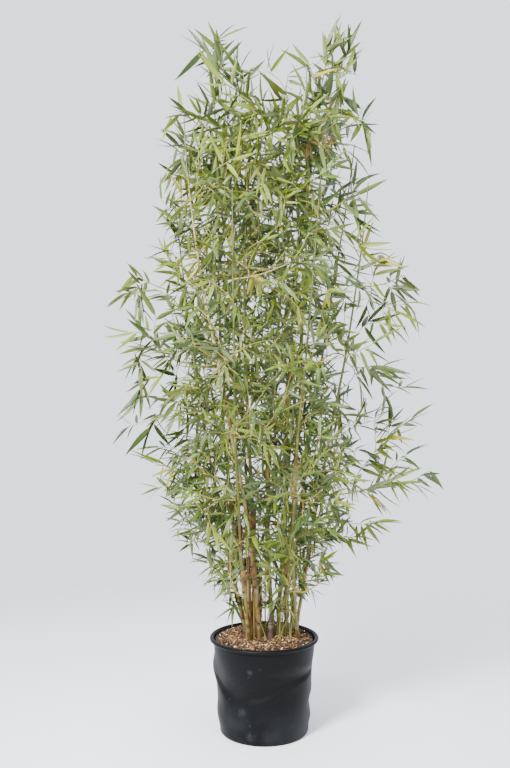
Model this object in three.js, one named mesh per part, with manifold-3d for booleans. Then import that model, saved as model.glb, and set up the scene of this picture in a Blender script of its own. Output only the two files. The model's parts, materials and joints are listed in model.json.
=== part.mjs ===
// A clump-forming bamboo, 1.71 m tall, growing in a round black nursery pot.
// Units are millimetres and +Z is up. The origin is the centre of the pot's flat underside,
// +X is the viewer's right and the viewer stands on the -Y side.
//
// The pot is a dented shell with a rolled rim, filled with bark-covered soil. Slender jointed
// canes rise from the middle of it and fan out. The foliage is split into masses: each has one
// stem that starts beside a joint of a cane, twigs that branch from it, and leaves on the twigs.
import * as THREE from 'three';
import { mergeVertices } from 'three/addons/utils/BufferGeometryUtils.js';
import Module from 'manifold-3d';

const wasm = await Module();
wasm.setup();

// Driving dimensions
const PLANT_HEIGHT = 1710; // floor to the highest leaf tip
const POT_HEIGHT = 225;
const RIM_RADIUS = 130; // outside of the rolled rim
const WALL_TOP_RADIUS = 121; // outside of the wall, under the rim
const WALL_FOOT_RADIUS = 105;
const WALL = 2;
const FLOOR = 3;
const RIM_ROLL = 9; // height of the rolled rim
const FOOT_CHAMFER = 5;
const POT_SIDES = 32;
const SOIL_LEVEL = 222; // the flat top that the canes stand on
const SOIL_EDGE_DROP = 12; // how far the soil falls towards the wall
const SOIL_FLAT_RADIUS = 88;
const SOIL_CLEAR = 2.2; // between the soil and the dented wall
const WALL_BANDS = [50, 88, 122, 160]; // heights where the wall's facets meet
const GAP = 0.3; // between pieces that touch

// Broad dents pressed into the thin wall: where they are, how deep and how wide they are.
const DENTS = [
  { turn: -62, height: 128, depth: 6, halfTurn: 34, halfHeight: 62 },
  { turn: -128, height: 98, depth: 7, halfTurn: 24, halfHeight: 66 },
  { turn: -8, height: 150, depth: 4, halfTurn: 22, halfHeight: 52 },
  { turn: 95, height: 105, depth: 6, halfTurn: 36, halfHeight: 64 },
];

// Each cane passes over these [x, y] places: at its foot on the soil, a third and two thirds of
// the way up, and at its tip.
const CANES = [
  { name: 'left_leader', way: [[-20, 14], [-94, 8], [-109, 2], [-125, 0]], height: 1600, radius: 5.6 },
  { name: 'right_leader', way: [[56, 22], [54, 26], [83, 30], [150, 14]], height: 1600, radius: 5.6 },
  { name: 'middle', way: [[25, 2], [12, -4], [45, -6], [53, -2]], height: 1540, radius: 5.2 },
  { name: 'bunched', way: [[-17, -12], [-34, -40], [-46, -56], [-18, -44]], height: 1500, radius: 5 },
  { name: 'straw', way: [[-12, -34], [-60, -80], [-138, -96], [-186, -84]], height: 1440, radius: 5 },
  { name: 'right_thin', way: [[50, -12], [74, -40], [96, -52], [100, -40]], height: 1560, radius: 3.6 },
  { name: 'right_second', way: [[68, 40], [104, 84], [166, 96], [224, 76]], height: 1420, radius: 4.8 },
  { name: 'right_outer', way: [[76, 2], [132, -16], [196, -50], [240, -78]], height: 1290, radius: 4.4 },
  { name: 'left_outer', way: [[-40, 2], [-122, 56], [-180, 80], [-222, 84]], height: 1300, radius: 4.6 },
  { name: 'front_left', way: [[-34, -46], [-60, -142], [-68, -186], [-70, -198]], height: 1250, radius: 4.4 },
  { name: 'front_right', way: [[80, -24], [66, -122], [90, -172], [118, -186]], height: 1230, radius: 4.4 },
  { name: 'back_left', way: [[-14, 48], [-46, 132], [-66, 178], [-84, 194]], height: 1350, radius: 4.6 },
  { name: 'back_right', way: [[34, 54], [62, 142], [98, 182], [128, 194]], height: 1330, radius: 4.6 },
];
const STUMP = { name: 'stump', way: [[14, -26], [15, -27], [16, -28], [17, -28]], height: 304, radius: 9 };
const DRY_CANE = 'straw'; // the one that has lost its green
const CANE_SIDES = 6;
const CANE_TIP_RADIUS = 1.3;
const FIRST_INTERNODE = 74; // distance between the two lowest joints of a cane
const INTERNODE_GROWTH = 1.18; // each is that much longer than the one below
const LONGEST_INTERNODE = 178;
const JOINT_SWELL = 1.28; // a joint's radius over the cane's
const JOINT_HALF_HEIGHT = 3.5;
const FOOT_FLARE = 1.3; // a cane's radius on the soil over its radius just above

// The crown's outline: how far its furthest leaf tips reach at each height.
const CROWN_OUTLINE = [
  { height: 235, left: 95, right: 100, deep: 90 },
  { height: 300, left: 150, right: 150, deep: 135 },
  { height: 440, left: 215, right: 290, deep: 215 },
  { height: 575, left: 335, right: 466, deep: 290 },
  { height: 720, left: 384, right: 405, deep: 325 },
  { height: 900, left: 390, right: 400, deep: 330 },
  { height: 1060, left: 378, right: 392, deep: 320 },
  { height: 1200, left: 280, right: 300, deep: 275 },
  { height: 1460, left: 246, right: 290, deep: 235 },
  { height: 1620, left: 222, right: 262, deep: 130 },
  { height: PLANT_HEIGHT, left: 200, right: 226, deep: 110 },
];

const SHOULDER = 1440; // above this the leaves keep near the canes, with sky between them
const TUFT_RADIUS = 98;
const TUFT_RISE = 110;

// A mass starts at the joint nearest to each of these heights, on each cane that has room for it.
const TIERS = [350, 520, 700, 880, 1060, 1240, 1420, 1540];
const MASS_SPACING = 175; // least distance between the middles of two masses
const MASS_RISE = 34; // a mass's middle is this much higher than the joint its stem leaves
const MASS_SWINGS = [0, 45, -45, 90, -90, 135, -135, 180];
const MASS_REACHES = [0.5, 0.36, 0.22];
const MASS_REACH = 0.9; // share of the crown's reach that a mass's middle keeps within
const LEAST_ROOM = 60; // the least distance to the outline that a reach is a share of
const JOINT_DEPTH = 14; // how far a joint is inside the space of the mass that grows from it

const STEM_RADIUS = 3.2;
const STEM_SWINGS = [0, 20, -20, 40, -40, 65, -65, 95, -95];
const STEM_LENGTHS = [1, 0.8, 0.6]; // share of the way from its start to the mass's middle
const STEM_SPREAD = 0.4; // share of that way which the stem keeps square to its cane
const STEM_LEAST_SPREAD = 16;
const TWIG_RADIUS = 1.5;
const TWIG_TIP_RADIUS = 1.3;
const TWIG_STARTS = [0.3, 0.45, 0.6, 0.75, 0.9]; // where twigs may leave the stem
const TURN_COST = 0.7; // how much a sharp turn counts against a twig's start
const SPRAY_SEED = 7;
const MASS_SEED = 1000; // the first mass's
const SPRAY_TRIES = 30000;
const SPRAY_SPACING = 82; // least distance between the ends of two twigs
const TUFT_SPACING = 64; // the same above the shoulder
const SPRAY_REACH = 0.76; // share of the crown's reach that a twig's end keeps within
const SPRAY_DEPTH = 10; // how far a twig's end is inside its mass's space
const OUTERMOST_LEAST = 0.3; // share of the reach, where the crown is wide enough for outermost twigs
const LEAF_FANS = [50, -50]; // degrees from the twig's heading to each side leaf
const LEAF_TRIES = 30;
const LEAF_LENGTH = 130;
const LEAF_WIDTH = 34;
const LEAF_THICKNESS = 1.8;
const LEAF_WIDEST = 0.38; // share of its length
const LEAF_DROOP = -8; // degrees
const LEAF_OUTWARDS = 0.8; // how much a spray turns away from the cane
const TURN_SPREAD = 24; // degrees between a leaf's furthest turns, at its first try
const TILT_SPREAD = 50;
const ROLL_SPREAD = 100;
const EACH_TRY = { turn: 6, tilt: 3, shorter: 0.03 };
const MOST_SHORTENING = 0.3;
const NODE_LENGTH = 5; // the end of a twig, which its side leaves grow from
const LEAF_LEAST_FAN = 40; // degrees between two leaves of a fan
const LEAF_LEAST_FACING = 0.25; // cosine of the angle between a leaf and the face it grows from
const LEAF_MARGIN = 8; // between the ribs of two leaves
const CELL_MARGIN = 1.5; // between a mass and the plane that parts it from the next one
const CANE_MARGIN = 4; // between a leaf or twig and a cane
const CHECK_STEP = 9; // spacing of the points that are tested
const LEAST_EDGE = 0.03; // shorter edges are closed up
const LEAST_HEIGHT = 0.01; // of a triangle over its longest edge

const POT_GREY = new THREE.MeshStandardMaterial({ color: 0x2f3236, roughness: 0.48, metalness: 0 });
const BARK_BROWN = new THREE.MeshStandardMaterial({ color: 0x8a6647, roughness: 0.95, metalness: 0 });
const CANE_OLIVE = new THREE.MeshStandardMaterial({ color: 0x8c8a3c, roughness: 0.42, metalness: 0 });
const CANE_STRAW = new THREE.MeshStandardMaterial({ color: 0xc2a26c, roughness: 0.6, metalness: 0 });
const LEAF_GREEN = new THREE.MeshStandardMaterial({ color: 0x6d8b45, roughness: 0.55, metalness: 0 });

const UP = new THREE.Vector3(0, 0, 1);
const NEARLY_UPRIGHT = 0.95; // height gained for each unit of length
const radians = THREE.MathUtils.degToRad;
const lerp = THREE.MathUtils.lerp;
const clamp = THREE.MathUtils.clamp;

// A stream of numbers from 0 to 1 that is the same at every run.
function seeded(seed) {
  let state = seed >>> 0;
  return () => {
    state = (state + 0x6d2b79f5) >>> 0;
    let mixed = Math.imul(state ^ (state >>> 15), state | 1);
    mixed = (mixed + Math.imul(mixed ^ (mixed >>> 7), mixed | 61)) ^ mixed;
    return ((mixed ^ (mixed >>> 14)) >>> 0) / 4294967296;
  };
}

// Solids

// Merges a geometry's shared corners, so that it is one closed surface.
function closed(geometry) {
  const bare = new THREE.BufferGeometry().setAttribute('position', geometry.getAttribute('position'));
  bare.setIndex(geometry.index);
  return mergeVertices(bare, 1e-4);
}

function solidOf(geometry) {
  const merged = closed(geometry);
  return new wasm.Manifold(
    new wasm.Mesh({
      numProp: 3,
      vertProperties: new Float32Array(merged.getAttribute('position').array),
      triVerts: new Uint32Array(merged.index.array),
    }),
  );
}

function geometryOf(solid) {
  const mesh = solid.getMesh();
  return new THREE.BufferGeometry()
    .setAttribute('position', new THREE.BufferAttribute(new Float32Array(mesh.vertProperties), 3))
    .setIndex(new THREE.BufferAttribute(new Uint32Array(mesh.triVerts), 1));
}

// A geometry's corners, and the three corners of each of its faces.
function facesOf(geometry) {
  const place = geometry.getAttribute('position');
  const corners = [];
  for (let i = 0; i < place.count; i++) corners.push(new THREE.Vector3().fromBufferAttribute(place, i));
  const faces = [];
  for (let i = 0; i < geometry.index.count; i += 3) faces.push([...geometry.index.array.slice(i, i + 3)]);
  return { corners, faces };
}

// The geometry of some faces, without the corners that they don't use.
function facetted(corners, faces) {
  const used = [...new Set(faces.flat())];
  const newIndex = new Map(used.map((corner, i) => [corner, i]));
  const geometry = new THREE.BufferGeometry().setFromPoints(used.map((corner) => corners[corner]));
  return geometry.setIndex(faces.flat().map((corner) => newIndex.get(corner)));
}

// A face's three edges, each with the corner across from it.
function edgesOf([a, b, c]) {
  return [
    [a, b, c],
    [b, c, a],
    [c, a, b],
  ];
}

// Joining limbs leaves very short edges and very flat triangles. A short edge is closed up, unless
// the surface would pinch there, and a flat triangle swaps its long edge for the one across it.
function withoutSlivers(corners, faces) {
  const length = ([a, b]) => corners[a].distanceTo(corners[b]);
  const longest = (face) => edgesOf(face).reduce((best, edge) => (length(edge) > length(best) ? edge : best));
  const area = (face) => new THREE.Triangle(...face.map((corner) => corners[corner])).getArea();
  const height = (face) => (2 * area(face)) / length(longest(face));
  const around = (corner) => new Set(faces.filter((face) => face.includes(corner)).flat());

  const closeUp = () => {
    const short = faces.flatMap(edgesOf).filter((edge) => length(edge) < LEAST_EDGE);
    for (const [a, b] of short) {
      const beside = around(b);
      const shared = [...around(a)].filter((corner) => beside.has(corner));
      if (shared.length !== 4) continue; // a and b themselves, and the corners to either side
      const moved = faces.map((face) => face.map((corner) => (corner === b ? a : corner)));
      faces = moved.filter((face) => new Set(face).size === 3);
      return true;
    }
    return false;
  };

  const swap = () => {
    for (const flat of faces.filter((face) => height(face) < LEAST_HEIGHT)) {
      const [a, b, c] = longest(flat);
      const other = faces.find((face) => face !== flat && face.includes(a) && face.includes(b));
      const d = other.find((corner) => corner !== a && corner !== b);
      const swapped = [
        [a, d, c],
        [d, b, c],
      ];
      if (around(c).has(d) || Math.min(...swapped.map(height)) <= height(flat)) continue;
      faces = faces.filter((face) => face !== flat && face !== other).concat(swapped);
      return true;
    }
    return false;
  };

  while (closeUp() || swap());
  return faces;
}

// The largest outer shell: loose scraps are dropped, and a hollow sealed inside it is filled.
function wholePiece(solid) {
  return solid.decompose().reduce((best, piece) => (piece.volume() > best.volume() ? piece : best));
}

// Moves every corner of a geometry to where place(corner) says.
function reshape(geometry, place) {
  const corners = geometry.getAttribute('position');
  const corner = new THREE.Vector3();
  for (let i = 0; i < corners.count; i++) {
    place(corner.fromBufferAttribute(corners, i));
    corners.setXYZ(i, corner.x, corner.y, corner.z);
  }
  return geometry;
}

// Pot and soil

// How far the wall is pushed in at a turn and a height: smooth, and nothing at a dent's edge.
function dentDepth(turn, height) {
  const bump = (away) => (Math.abs(away) < 1 ? Math.cos((away * Math.PI) / 2) ** 2 : 0);
  return DENTS.reduce((depth, dent) => {
    const away = ((((turn - dent.turn + 180) % 360) + 360) % 360) - 180;
    return depth + dent.depth * bump(away / dent.halfTurn) * bump((height - dent.height) / dent.halfHeight);
  }, 0);
}

// Turns a profile of [radius, height] pairs round the upright axis, and presses the dents into it.
function dentedLathe(profile) {
  const points = profile.map(([radius, height]) => new THREE.Vector2(radius, height));
  const geometry = new THREE.LatheGeometry(points, POT_SIDES).rotateX(Math.PI / 2);
  return reshape(geometry, (corner) => {
    const radius = Math.hypot(corner.x, corner.y);
    if (radius < WALL_FOOT_RADIUS - FOOT_CHAMFER - WALL) return;
    const turn = THREE.MathUtils.radToDeg(Math.atan2(corner.y, corner.x));
    const share = (radius - dentDepth(turn, corner.z)) / radius;
    corner.x *= share;
    corner.y *= share;
  });
}

function wallRadius(height) {
  return lerp(WALL_FOOT_RADIUS, WALL_TOP_RADIUS, height / (POT_HEIGHT - RIM_ROLL));
}

function potMesh() {
  const rimFoot = POT_HEIGHT - RIM_ROLL;
  const bands = [FOOT_CHAMFER, ...WALL_BANDS, rimFoot];
  const rimBulge = (RIM_RADIUS - WALL_TOP_RADIUS) / 3;
  const profile = [
    [0, 0],
    [WALL_FOOT_RADIUS - FOOT_CHAMFER, 0],
    ...bands.map((height) => [wallRadius(height), height]),
    [RIM_RADIUS - rimBulge / 2, rimFoot],
    [RIM_RADIUS, POT_HEIGHT - RIM_ROLL / 2],
    [RIM_RADIUS - rimBulge, POT_HEIGHT],
    [WALL_TOP_RADIUS + WALL / 2, POT_HEIGHT],
    ...bands.toReversed().map((height) => [wallRadius(height) - WALL, height]),
    [WALL_FOOT_RADIUS - FOOT_CHAMFER - WALL, FLOOR],
    [0, FLOOR],
  ];
  return named('pot', dentedLathe(profile), POT_GREY);
}

// The filling: soil to near the rim, with a flat top in the middle that the canes stand on.
function soilMesh() {
  const clear = WALL + SOIL_CLEAR;
  const edgeHeight = SOIL_LEVEL - SOIL_EDGE_DROP;
  const bands = [FOOT_CHAMFER + 1, ...WALL_BANDS, edgeHeight];
  const profile = [
    [0, FLOOR + GAP],
    [WALL_FOOT_RADIUS - FOOT_CHAMFER - clear - SOIL_CLEAR, FLOOR + GAP],
    ...bands.map((height) => [wallRadius(height) - clear, height]),
    [SOIL_FLAT_RADIUS, SOIL_LEVEL],
    [0, SOIL_LEVEL],
  ];
  return named('soil', dentedLathe(profile), BARK_BROWN);
}

// Canes

// The middle of a cane at a height: the smooth curve over the four places of its way.
function caneAt(cane, height) {
  const t = clamp((height - SOIL_LEVEL) / (cane.height - SOIL_LEVEL), 0, 1);
  const shares = [
    (-(3 * t - 1) * (3 * t - 2) * (t - 1)) / 2,
    (9 * t * (3 * t - 2) * (t - 1)) / 2,
    (-9 * t * (3 * t - 1) * (t - 1)) / 2,
    (t * (3 * t - 1) * (3 * t - 2)) / 2,
  ];
  const over = (axis) => shares.reduce((sum, share, i) => sum + share * cane.way[i][axis], 0);
  return new THREE.Vector3(over(0), over(1), height);
}

function caneRadius(cane, height) {
  const along = clamp((height - SOIL_LEVEL) / (cane.height - SOIL_LEVEL), 0, 1);
  return lerp(cane.radius, CANE_TIP_RADIUS, along ** 1.25);
}

// Heights of a cane's joints. They are closer together near the soil.
function jointHeights(cane) {
  const heights = [];
  let step = FIRST_INTERNODE * (0.85 + 0.03 * cane.radius);
  let height = SOIL_LEVEL + step * 0.55;
  while (height < cane.height - LONGEST_INTERNODE * 0.4) {
    heights.push(height);
    step = Math.min(step * INTERNODE_GROWTH, LONGEST_INTERNODE);
    height += step;
  }
  return heights;
}

// A tapered round bar whose rings stay level, so its foot is a flat cut on the soil.
function caneMesh(cane) {
  const rings = [{ height: SOIL_LEVEL + GAP, swell: FOOT_FLARE }];
  for (const joint of jointHeights(cane)) {
    rings.push({ height: joint - JOINT_HALF_HEIGHT, swell: 1 });
    rings.push({ height: joint, swell: JOINT_SWELL });
  }
  rings.push({ height: cane.height, swell: 1 });
  const steps = rings.length - 1;
  const geometry = new THREE.CylinderGeometry(1, 1, steps, CANE_SIDES, steps).rotateX(Math.PI / 2);
  reshape(geometry, (corner) => {
    const ring = rings[Math.round(corner.z + steps / 2)];
    const radius = caneRadius(cane, ring.height) * ring.swell;
    const middle = caneAt(cane, ring.height);
    corner.set(middle.x + corner.x * radius, middle.y + corner.y * radius, ring.height);
  });
  return named('cane_' + cane.name, geometry, cane.name === DRY_CANE ? CANE_STRAW : CANE_OLIVE);
}

// Where the foliage may be

function outlineAt(height) {
  const above = CROWN_OUTLINE.findIndex((row) => row.height >= height);
  if (above <= 0) return CROWN_OUTLINE.at(above);
  const low = CROWN_OUTLINE[above - 1];
  const high = CROWN_OUTLINE[above];
  const share = (height - low.height) / (high.height - low.height);
  const between = (side) => lerp(low[side], high[side], share);
  return { left: between('left'), right: between('right'), deep: between('deep') };
}

// A point's distance from the clump's axis over the crown's reach there: 1 is on the outline.
function reachShare(point) {
  if (point.z < CROWN_OUTLINE[0].height || point.z > PLANT_HEIGHT) return Infinity;
  const row = outlineAt(point.z);
  return Math.hypot(point.x / (point.x < 0 ? row.left : row.right), point.y / row.deep);
}

// True inside the crown, or inside its outline shrunk to a share of the reach.
function insideCrown(point, reach = 1) {
  if (reachShare(point) > reach) return false;
  if (point.z < SHOULDER) return true;
  return CANES.some((cane) => {
    const middle = caneAt(cane, Math.min(point.z, cane.height));
    const away = Math.hypot(point.x - middle.x, point.y - middle.y);
    return point.z < cane.height + TUFT_RISE && away < TUFT_RADIUS * reach;
  });
}

// Foliage masses

// A mass grows from a joint, and its middle is part of the way from there to the crown's outline.
function massAt(cane, height, swing, reach) {
  const joint = caneAt(cane, height);
  const away = joint.clone().setZ(0);
  away.normalize().applyAxisAngle(UP, radians(swing));
  const middle = joint.clone();
  const row = outlineAt(height);
  const room = (away.x < 0 ? row.left : row.right) * Math.abs(away.x) + row.deep * Math.abs(away.y);
  middle.addScaledVector(away, Math.max(room - Math.hypot(joint.x, joint.y), LEAST_ROOM) * reach);
  middle.z += MASS_RISE;
  return { cane, joint, away, middle };
}

// How far a point is inside a mass's own space, which ends halfway to the middles of the others.
function cellDepth(mass, point, masses = MASSES) {
  let depth = Infinity;
  for (const other of masses) {
    if (other === mass) continue;
    const between = other.middle.distanceTo(mass.middle);
    const closer = point.distanceToSquared(other.middle) - point.distanceToSquared(mass.middle);
    depth = Math.min(depth, closer / (2 * between));
  }
  return depth;
}

function massHasRoom(mass, masses) {
  const all = [...masses, mass];
  if (!insideCrown(mass.middle, MASS_REACH)) return false;
  if (masses.some((other) => other.middle.distanceTo(mass.middle) < MASS_SPACING)) return false;
  return all.every((each) => cellDepth(each, each.joint, all) > JOINT_DEPTH);
}

function jointNear(cane, height) {
  const nearer = (best, each) => (Math.abs(each - height) < Math.abs(best - height) ? each : best);
  return jointHeights(cane).reduce(nearer);
}

// Goes up the crown tier by tier and gives a mass to each joint that has room for one.
function massPlan() {
  const masses = [];
  TIERS.forEach((tier, level) => {
    const canes = CANES.filter((cane) => cane.height > tier);
    canes.sort((a, b) => reachShare(caneAt(b, tier)) - reachShare(caneAt(a, tier)));
    for (const cane of canes) {
      const height = jointNear(cane, tier);
      const turned = (reach) => MASS_SWINGS.map((swing) => massAt(cane, height, swing, reach));
      const choices = MASS_REACHES.flatMap(turned);
      const mass = choices.find((choice) => massHasRoom(choice, masses));
      if (mass) masses.push({ ...mass, name: `foliage_${cane.name}_${level + 1}` });
    }
  });
  return masses;
}

const MASSES = massPlan();

function insideSpace(mass, point, reach = 1) {
  return insideCrown(point, reach) && cellDepth(mass, point) > CELL_MARGIN;
}

// The least distance from a point to the surface of any cane.
function caneClearance(point) {
  let least = Infinity;
  for (const cane of [...CANES, STUMP]) {
    const height = clamp(point.z, SOIL_LEVEL, cane.height);
    const away = point.distanceTo(caneAt(cane, height)) - caneRadius(cane, height) * JOINT_SWELL;
    least = Math.min(least, away);
  }
  return least;
}

// Places a leaf's length inside the outline, to all four sides at each of the outline's heights.
function outermostPoints() {
  const points = [];
  for (const { height, left, right, deep } of CROWN_OUTLINE.filter((row) => row.height < SHOULDER)) {
    for (const [x, y] of [[-left, 0], [right, 0], [0, -deep], [0, deep]]) {
      const inwards = 1 - LEAF_LENGTH / Math.hypot(x, y);
      if (inwards > OUTERMOST_LEAST) points.push(new THREE.Vector3(x * inwards, y * inwards, height));
    }
  }
  return points;
}

// The ends of all the twigs, spread evenly through the crown and dealt out to the masses they lie in.
function sprayPoints() {
  const random = seeded(SPRAY_SEED);
  const points = MASSES.map(() => []);
  const all = [];
  const offer = (point) => {
    const spacing = point.z < SHOULDER ? SPRAY_SPACING : TUFT_SPACING;
    if (!insideCrown(point, SPRAY_REACH) || all.some((other) => other.distanceTo(point) < spacing)) return;
    const mass = MASSES.findIndex((each) => cellDepth(each, point) > SPRAY_DEPTH);
    if (mass < 0 || caneClearance(point) < 3 * CANE_MARGIN) return;
    points[mass].push(point);
    all.push(point);
  };
  outermostPoints().forEach(offer);
  const across = 2 * Math.max(...CROWN_OUTLINE.map((row) => Math.max(row.left, row.right)));
  for (let tries = 0; tries < SPRAY_TRIES; tries++) {
    const x = across * (random() - 0.5);
    const y = across * (random() - 0.5);
    offer(new THREE.Vector3(x, y, lerp(CROWN_OUTLINE[0].height, PLANT_HEIGHT, random())));
  }
  return points;
}

// Limbs and leaves of a mass

// A three-sided section of a limb or a leaf, with a keel under its middle and two upper edges.
// It is as deep as wide on twigs, and shallow and wide on leaves.
function sectionAt(middle, ahead, side, wide, deep) {
  const over = new THREE.Vector3().crossVectors(side, ahead);
  return [0, 120, 240].map((turn) => {
    const across = side.clone().multiplyScalar(-Math.sin(radians(turn)) * wide);
    return across.addScaledVector(over, -Math.cos(radians(turn)) * deep).add(middle);
  });
}

// The faces of a skin from one section to the next.
function skinFaces(from, to) {
  return [0, 1, 2].flatMap((i) => {
    const next = (i + 1) % 3;
    return [
      [from[i], from[next], to[next]],
      [from[i], to[next], to[i]],
    ];
  });
}

// The widest place of a leaf, and its tip.
function bladeSection(leaf) {
  const middle = leaf.root.clone().addScaledVector(leaf.ahead, leaf.length * LEAF_WIDEST);
  const wide = leaf.width / 2 / Math.cos(Math.PI / 6);
  return sectionAt(middle, leaf.ahead, leaf.side, wide, LEAF_THICKNESS / 1.5);
}

function leafTip(leaf) {
  return leaf.root.clone().addScaledVector(leaf.ahead, leaf.length);
}

// True where an edge of some of the new faces cuts a face, or an edge of a face cuts a new one.
function cutsThrough(corners, faces, added) {
  const hits = (edge, face) => {
    if (face.includes(edge[0]) || face.includes(edge[1])) return false;
    const [from, to] = edge.map((corner) => corners[corner]);
    const run = to.clone().sub(from);
    const ray = new THREE.Ray(from, run.clone().normalize());
    const hit = ray.intersectTriangle(...face.map((corner) => corners[corner]), false, new THREE.Vector3());
    return hit !== null && hit.distanceTo(from) < run.length();
  };
  const cuts = (one, other) => edgesOf(one).some(([a, b]) => hits([a, b], other));
  return added.some((one) => [...faces, ...added].some((other) => cuts(one, other) || cuts(other, one)));
}

// Replaces a face at the leaf's root by the leaf, which so grows out of the limb without a seam.
// Of the faces that look the leaf's way, and the three turns that the leaf can have on each, it
// takes the first with which the leaf stays clear of the rest of the limb.
function graftLeaf(corners, faces, leaf) {
  const facing = (face) => {
    const triangle = new THREE.Triangle(...face.map((i) => corners[i]));
    return triangle.getNormal(new THREE.Vector3()).dot(leaf.ahead);
  };
  const isFoot = (face) => face.every((i) => corners[i].distanceTo(leaf.root) < NODE_LENGTH);
  const feet = faces.filter((face) => isFoot(face) && facing(face) > LEAF_LEAST_FACING);
  const blade = bladeSection(leaf);
  const first = corners.length;
  for (const foot of feet.sort((one, other) => facing(other) - facing(one))) {
    const rest = faces.filter((face) => face !== foot);
    for (const shift of [0, 1, 2]) {
      const edge = [0, 1, 2].map((i) => first + ((i + shift) % 3));
      corners.push(...blade, leafTip(leaf));
      const added = skinFaces(foot, edge);
      edge.forEach((corner, i) => added.push([corner, edge[(i + 1) % 3], first + 3]));
      if (!cutsThrough(corners, rest, added)) return [...rest, ...added];
      corners.length = first;
    }
  }
  return faces;
}

// A point on the straight stretches between a limb's rings.
function limbPoint(limb, along) {
  const whole = along * limb.steps;
  const step = Math.min(Math.floor(whole), limb.steps - 1);
  const start = limb.curve.getPoint(step / limb.steps);
  return start.lerp(limb.curve.getPoint((step + 1) / limb.steps), whole - step);
}

// A limb follows its curve. Its last leaf grows on from its end, and its others just before that.
function limbSolid(limb) {
  const stops = [];
  for (let step = 0; step < limb.steps; step++) stops.push(step / limb.steps);
  stops.push(1 - NODE_LENGTH / limb.curve.getLength(), 1);
  const corners = stops.flatMap((along) => {
    const ahead = limb.curve.getTangent(along);
    const aside = Math.abs(ahead.z) < NEARLY_UPRIGHT ? UP : limb.leaves[0].side;
    const side = new THREE.Vector3().crossVectors(ahead, aside).normalize();
    const radius = lerp(limb.radius, limb.tipRadius, along);
    return sectionAt(limbPoint(limb, along), ahead, side, radius, radius);
  });
  const sections = stops.map((_, i) => [3 * i, 3 * i + 1, 3 * i + 2]);
  const skin = sections.slice(1).flatMap((section, i) => skinFaces(sections[i], section));
  const bar = [sections[0].toReversed(), ...skin, sections.at(-1)];
  const dressed = limb.leaves.reduce((faces, leaf) => graftLeaf(corners, faces, leaf), bar);
  return solidOf(facetted(corners, dressed));
}

// Points over a leaf's blade, from root to tip.
function bladePoints(leaf, shares) {
  const rows = Math.ceil(leaf.length / CHECK_STEP);
  const points = [];
  for (let row = 0; row <= rows; row++) {
    const along = row / rows;
    const half = (leaf.width / 2) * Math.min(along / LEAF_WIDEST, (1 - along) / (1 - LEAF_WIDEST));
    for (const share of shares) {
      const point = leaf.root.clone().addScaledVector(leaf.ahead, along * leaf.length);
      points.push(point.addScaledVector(leaf.side, share * half));
    }
  }
  return points;
}

function leafFits(mass, leaf, leaves, fan) {
  if (fan.some((other) => other.ahead.angleTo(leaf.ahead) < radians(LEAF_LEAST_FAN))) return false;
  const blade = bladePoints(leaf, [-1, -0.5, 0, 0.5, 1]);
  if (!blade.every((point) => insideSpace(mass, point) && caneClearance(point) > CANE_MARGIN)) return false;
  const rib = bladePoints(leaf, [0]).slice(2);
  return leaves.every((other) => other.rib.every((a) => rib.every((b) => a.distanceTo(b) > LEAF_MARGIN)));
}

function limbFits(mass, limb) {
  const rows = Math.ceil(limb.curve.getLength() / CHECK_STEP);
  for (let row = 0; row <= rows; row++) {
    const point = limbPoint(limb, row / rows);
    if (!insideCrown(point) || cellDepth(mass, point) < CELL_MARGIN + limb.radius) return false;
    const leavingCane = limb.isStem && row * CHECK_STEP < 3 * CANE_MARGIN;
    if (!leavingCane && caneClearance(point) < CANE_MARGIN + limb.radius) return false;
  }
  return true;
}

// The stem leaves its joint square to the cane, just clear of it, and rises to the mass's middle.
function massStem(mass) {
  const { joint, cane, middle } = mass;
  const caneAhead = caneAt(cane, joint.z + 5).sub(caneAt(cane, joint.z - 5)).normalize();
  for (const swing of STEM_SWINGS) {
    const away = mass.away.clone().applyAxisAngle(UP, radians(swing));
    away.addScaledVector(caneAhead, -away.dot(caneAhead)).normalize();
    const start = joint.clone().addScaledVector(away, caneRadius(cane, joint.z) * JOINT_SWELL + GAP);
    const spread = Math.max(STEM_SPREAD * start.distanceTo(middle), STEM_LEAST_SPREAD);
    const control = start.clone().addScaledVector(away, spread);
    for (const share of STEM_LENGTHS) {
      const curve = new THREE.QuadraticBezierCurve3(start, control, start.clone().lerp(middle, share));
      const stem = { curve, radius: STEM_RADIUS, tipRadius: TWIG_RADIUS, steps: 2, isStem: true };
      if (limbFits(mass, stem)) return stem;
    }
  }
  throw new Error(mass.name + ' has no way out for its stem');
}

// A twig leaves the stem where it has the shortest and least sharply turned run to its end.
function twigTo(mass, point, stem) {
  const ways = [];
  for (const along of TWIG_STARTS) {
    const start = limbPoint(stem, along);
    const run = point.clone().sub(start);
    const turn = 1 - run.clone().normalize().dot(stem.curve.getTangent(along));
    ways.push({ start, cost: run.length() * (1 + TURN_COST * turn) });
  }
  ways.sort((a, b) => a.cost - b.cost);
  for (const { start } of ways) {
    const curve = new THREE.LineCurve3(start, point);
    const twig = { curve, radius: TWIG_RADIUS, tipRadius: TWIG_TIP_RADIUS, steps: 1 };
    if (limbFits(mass, twig)) return twig;
  }
  return null;
}

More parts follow.
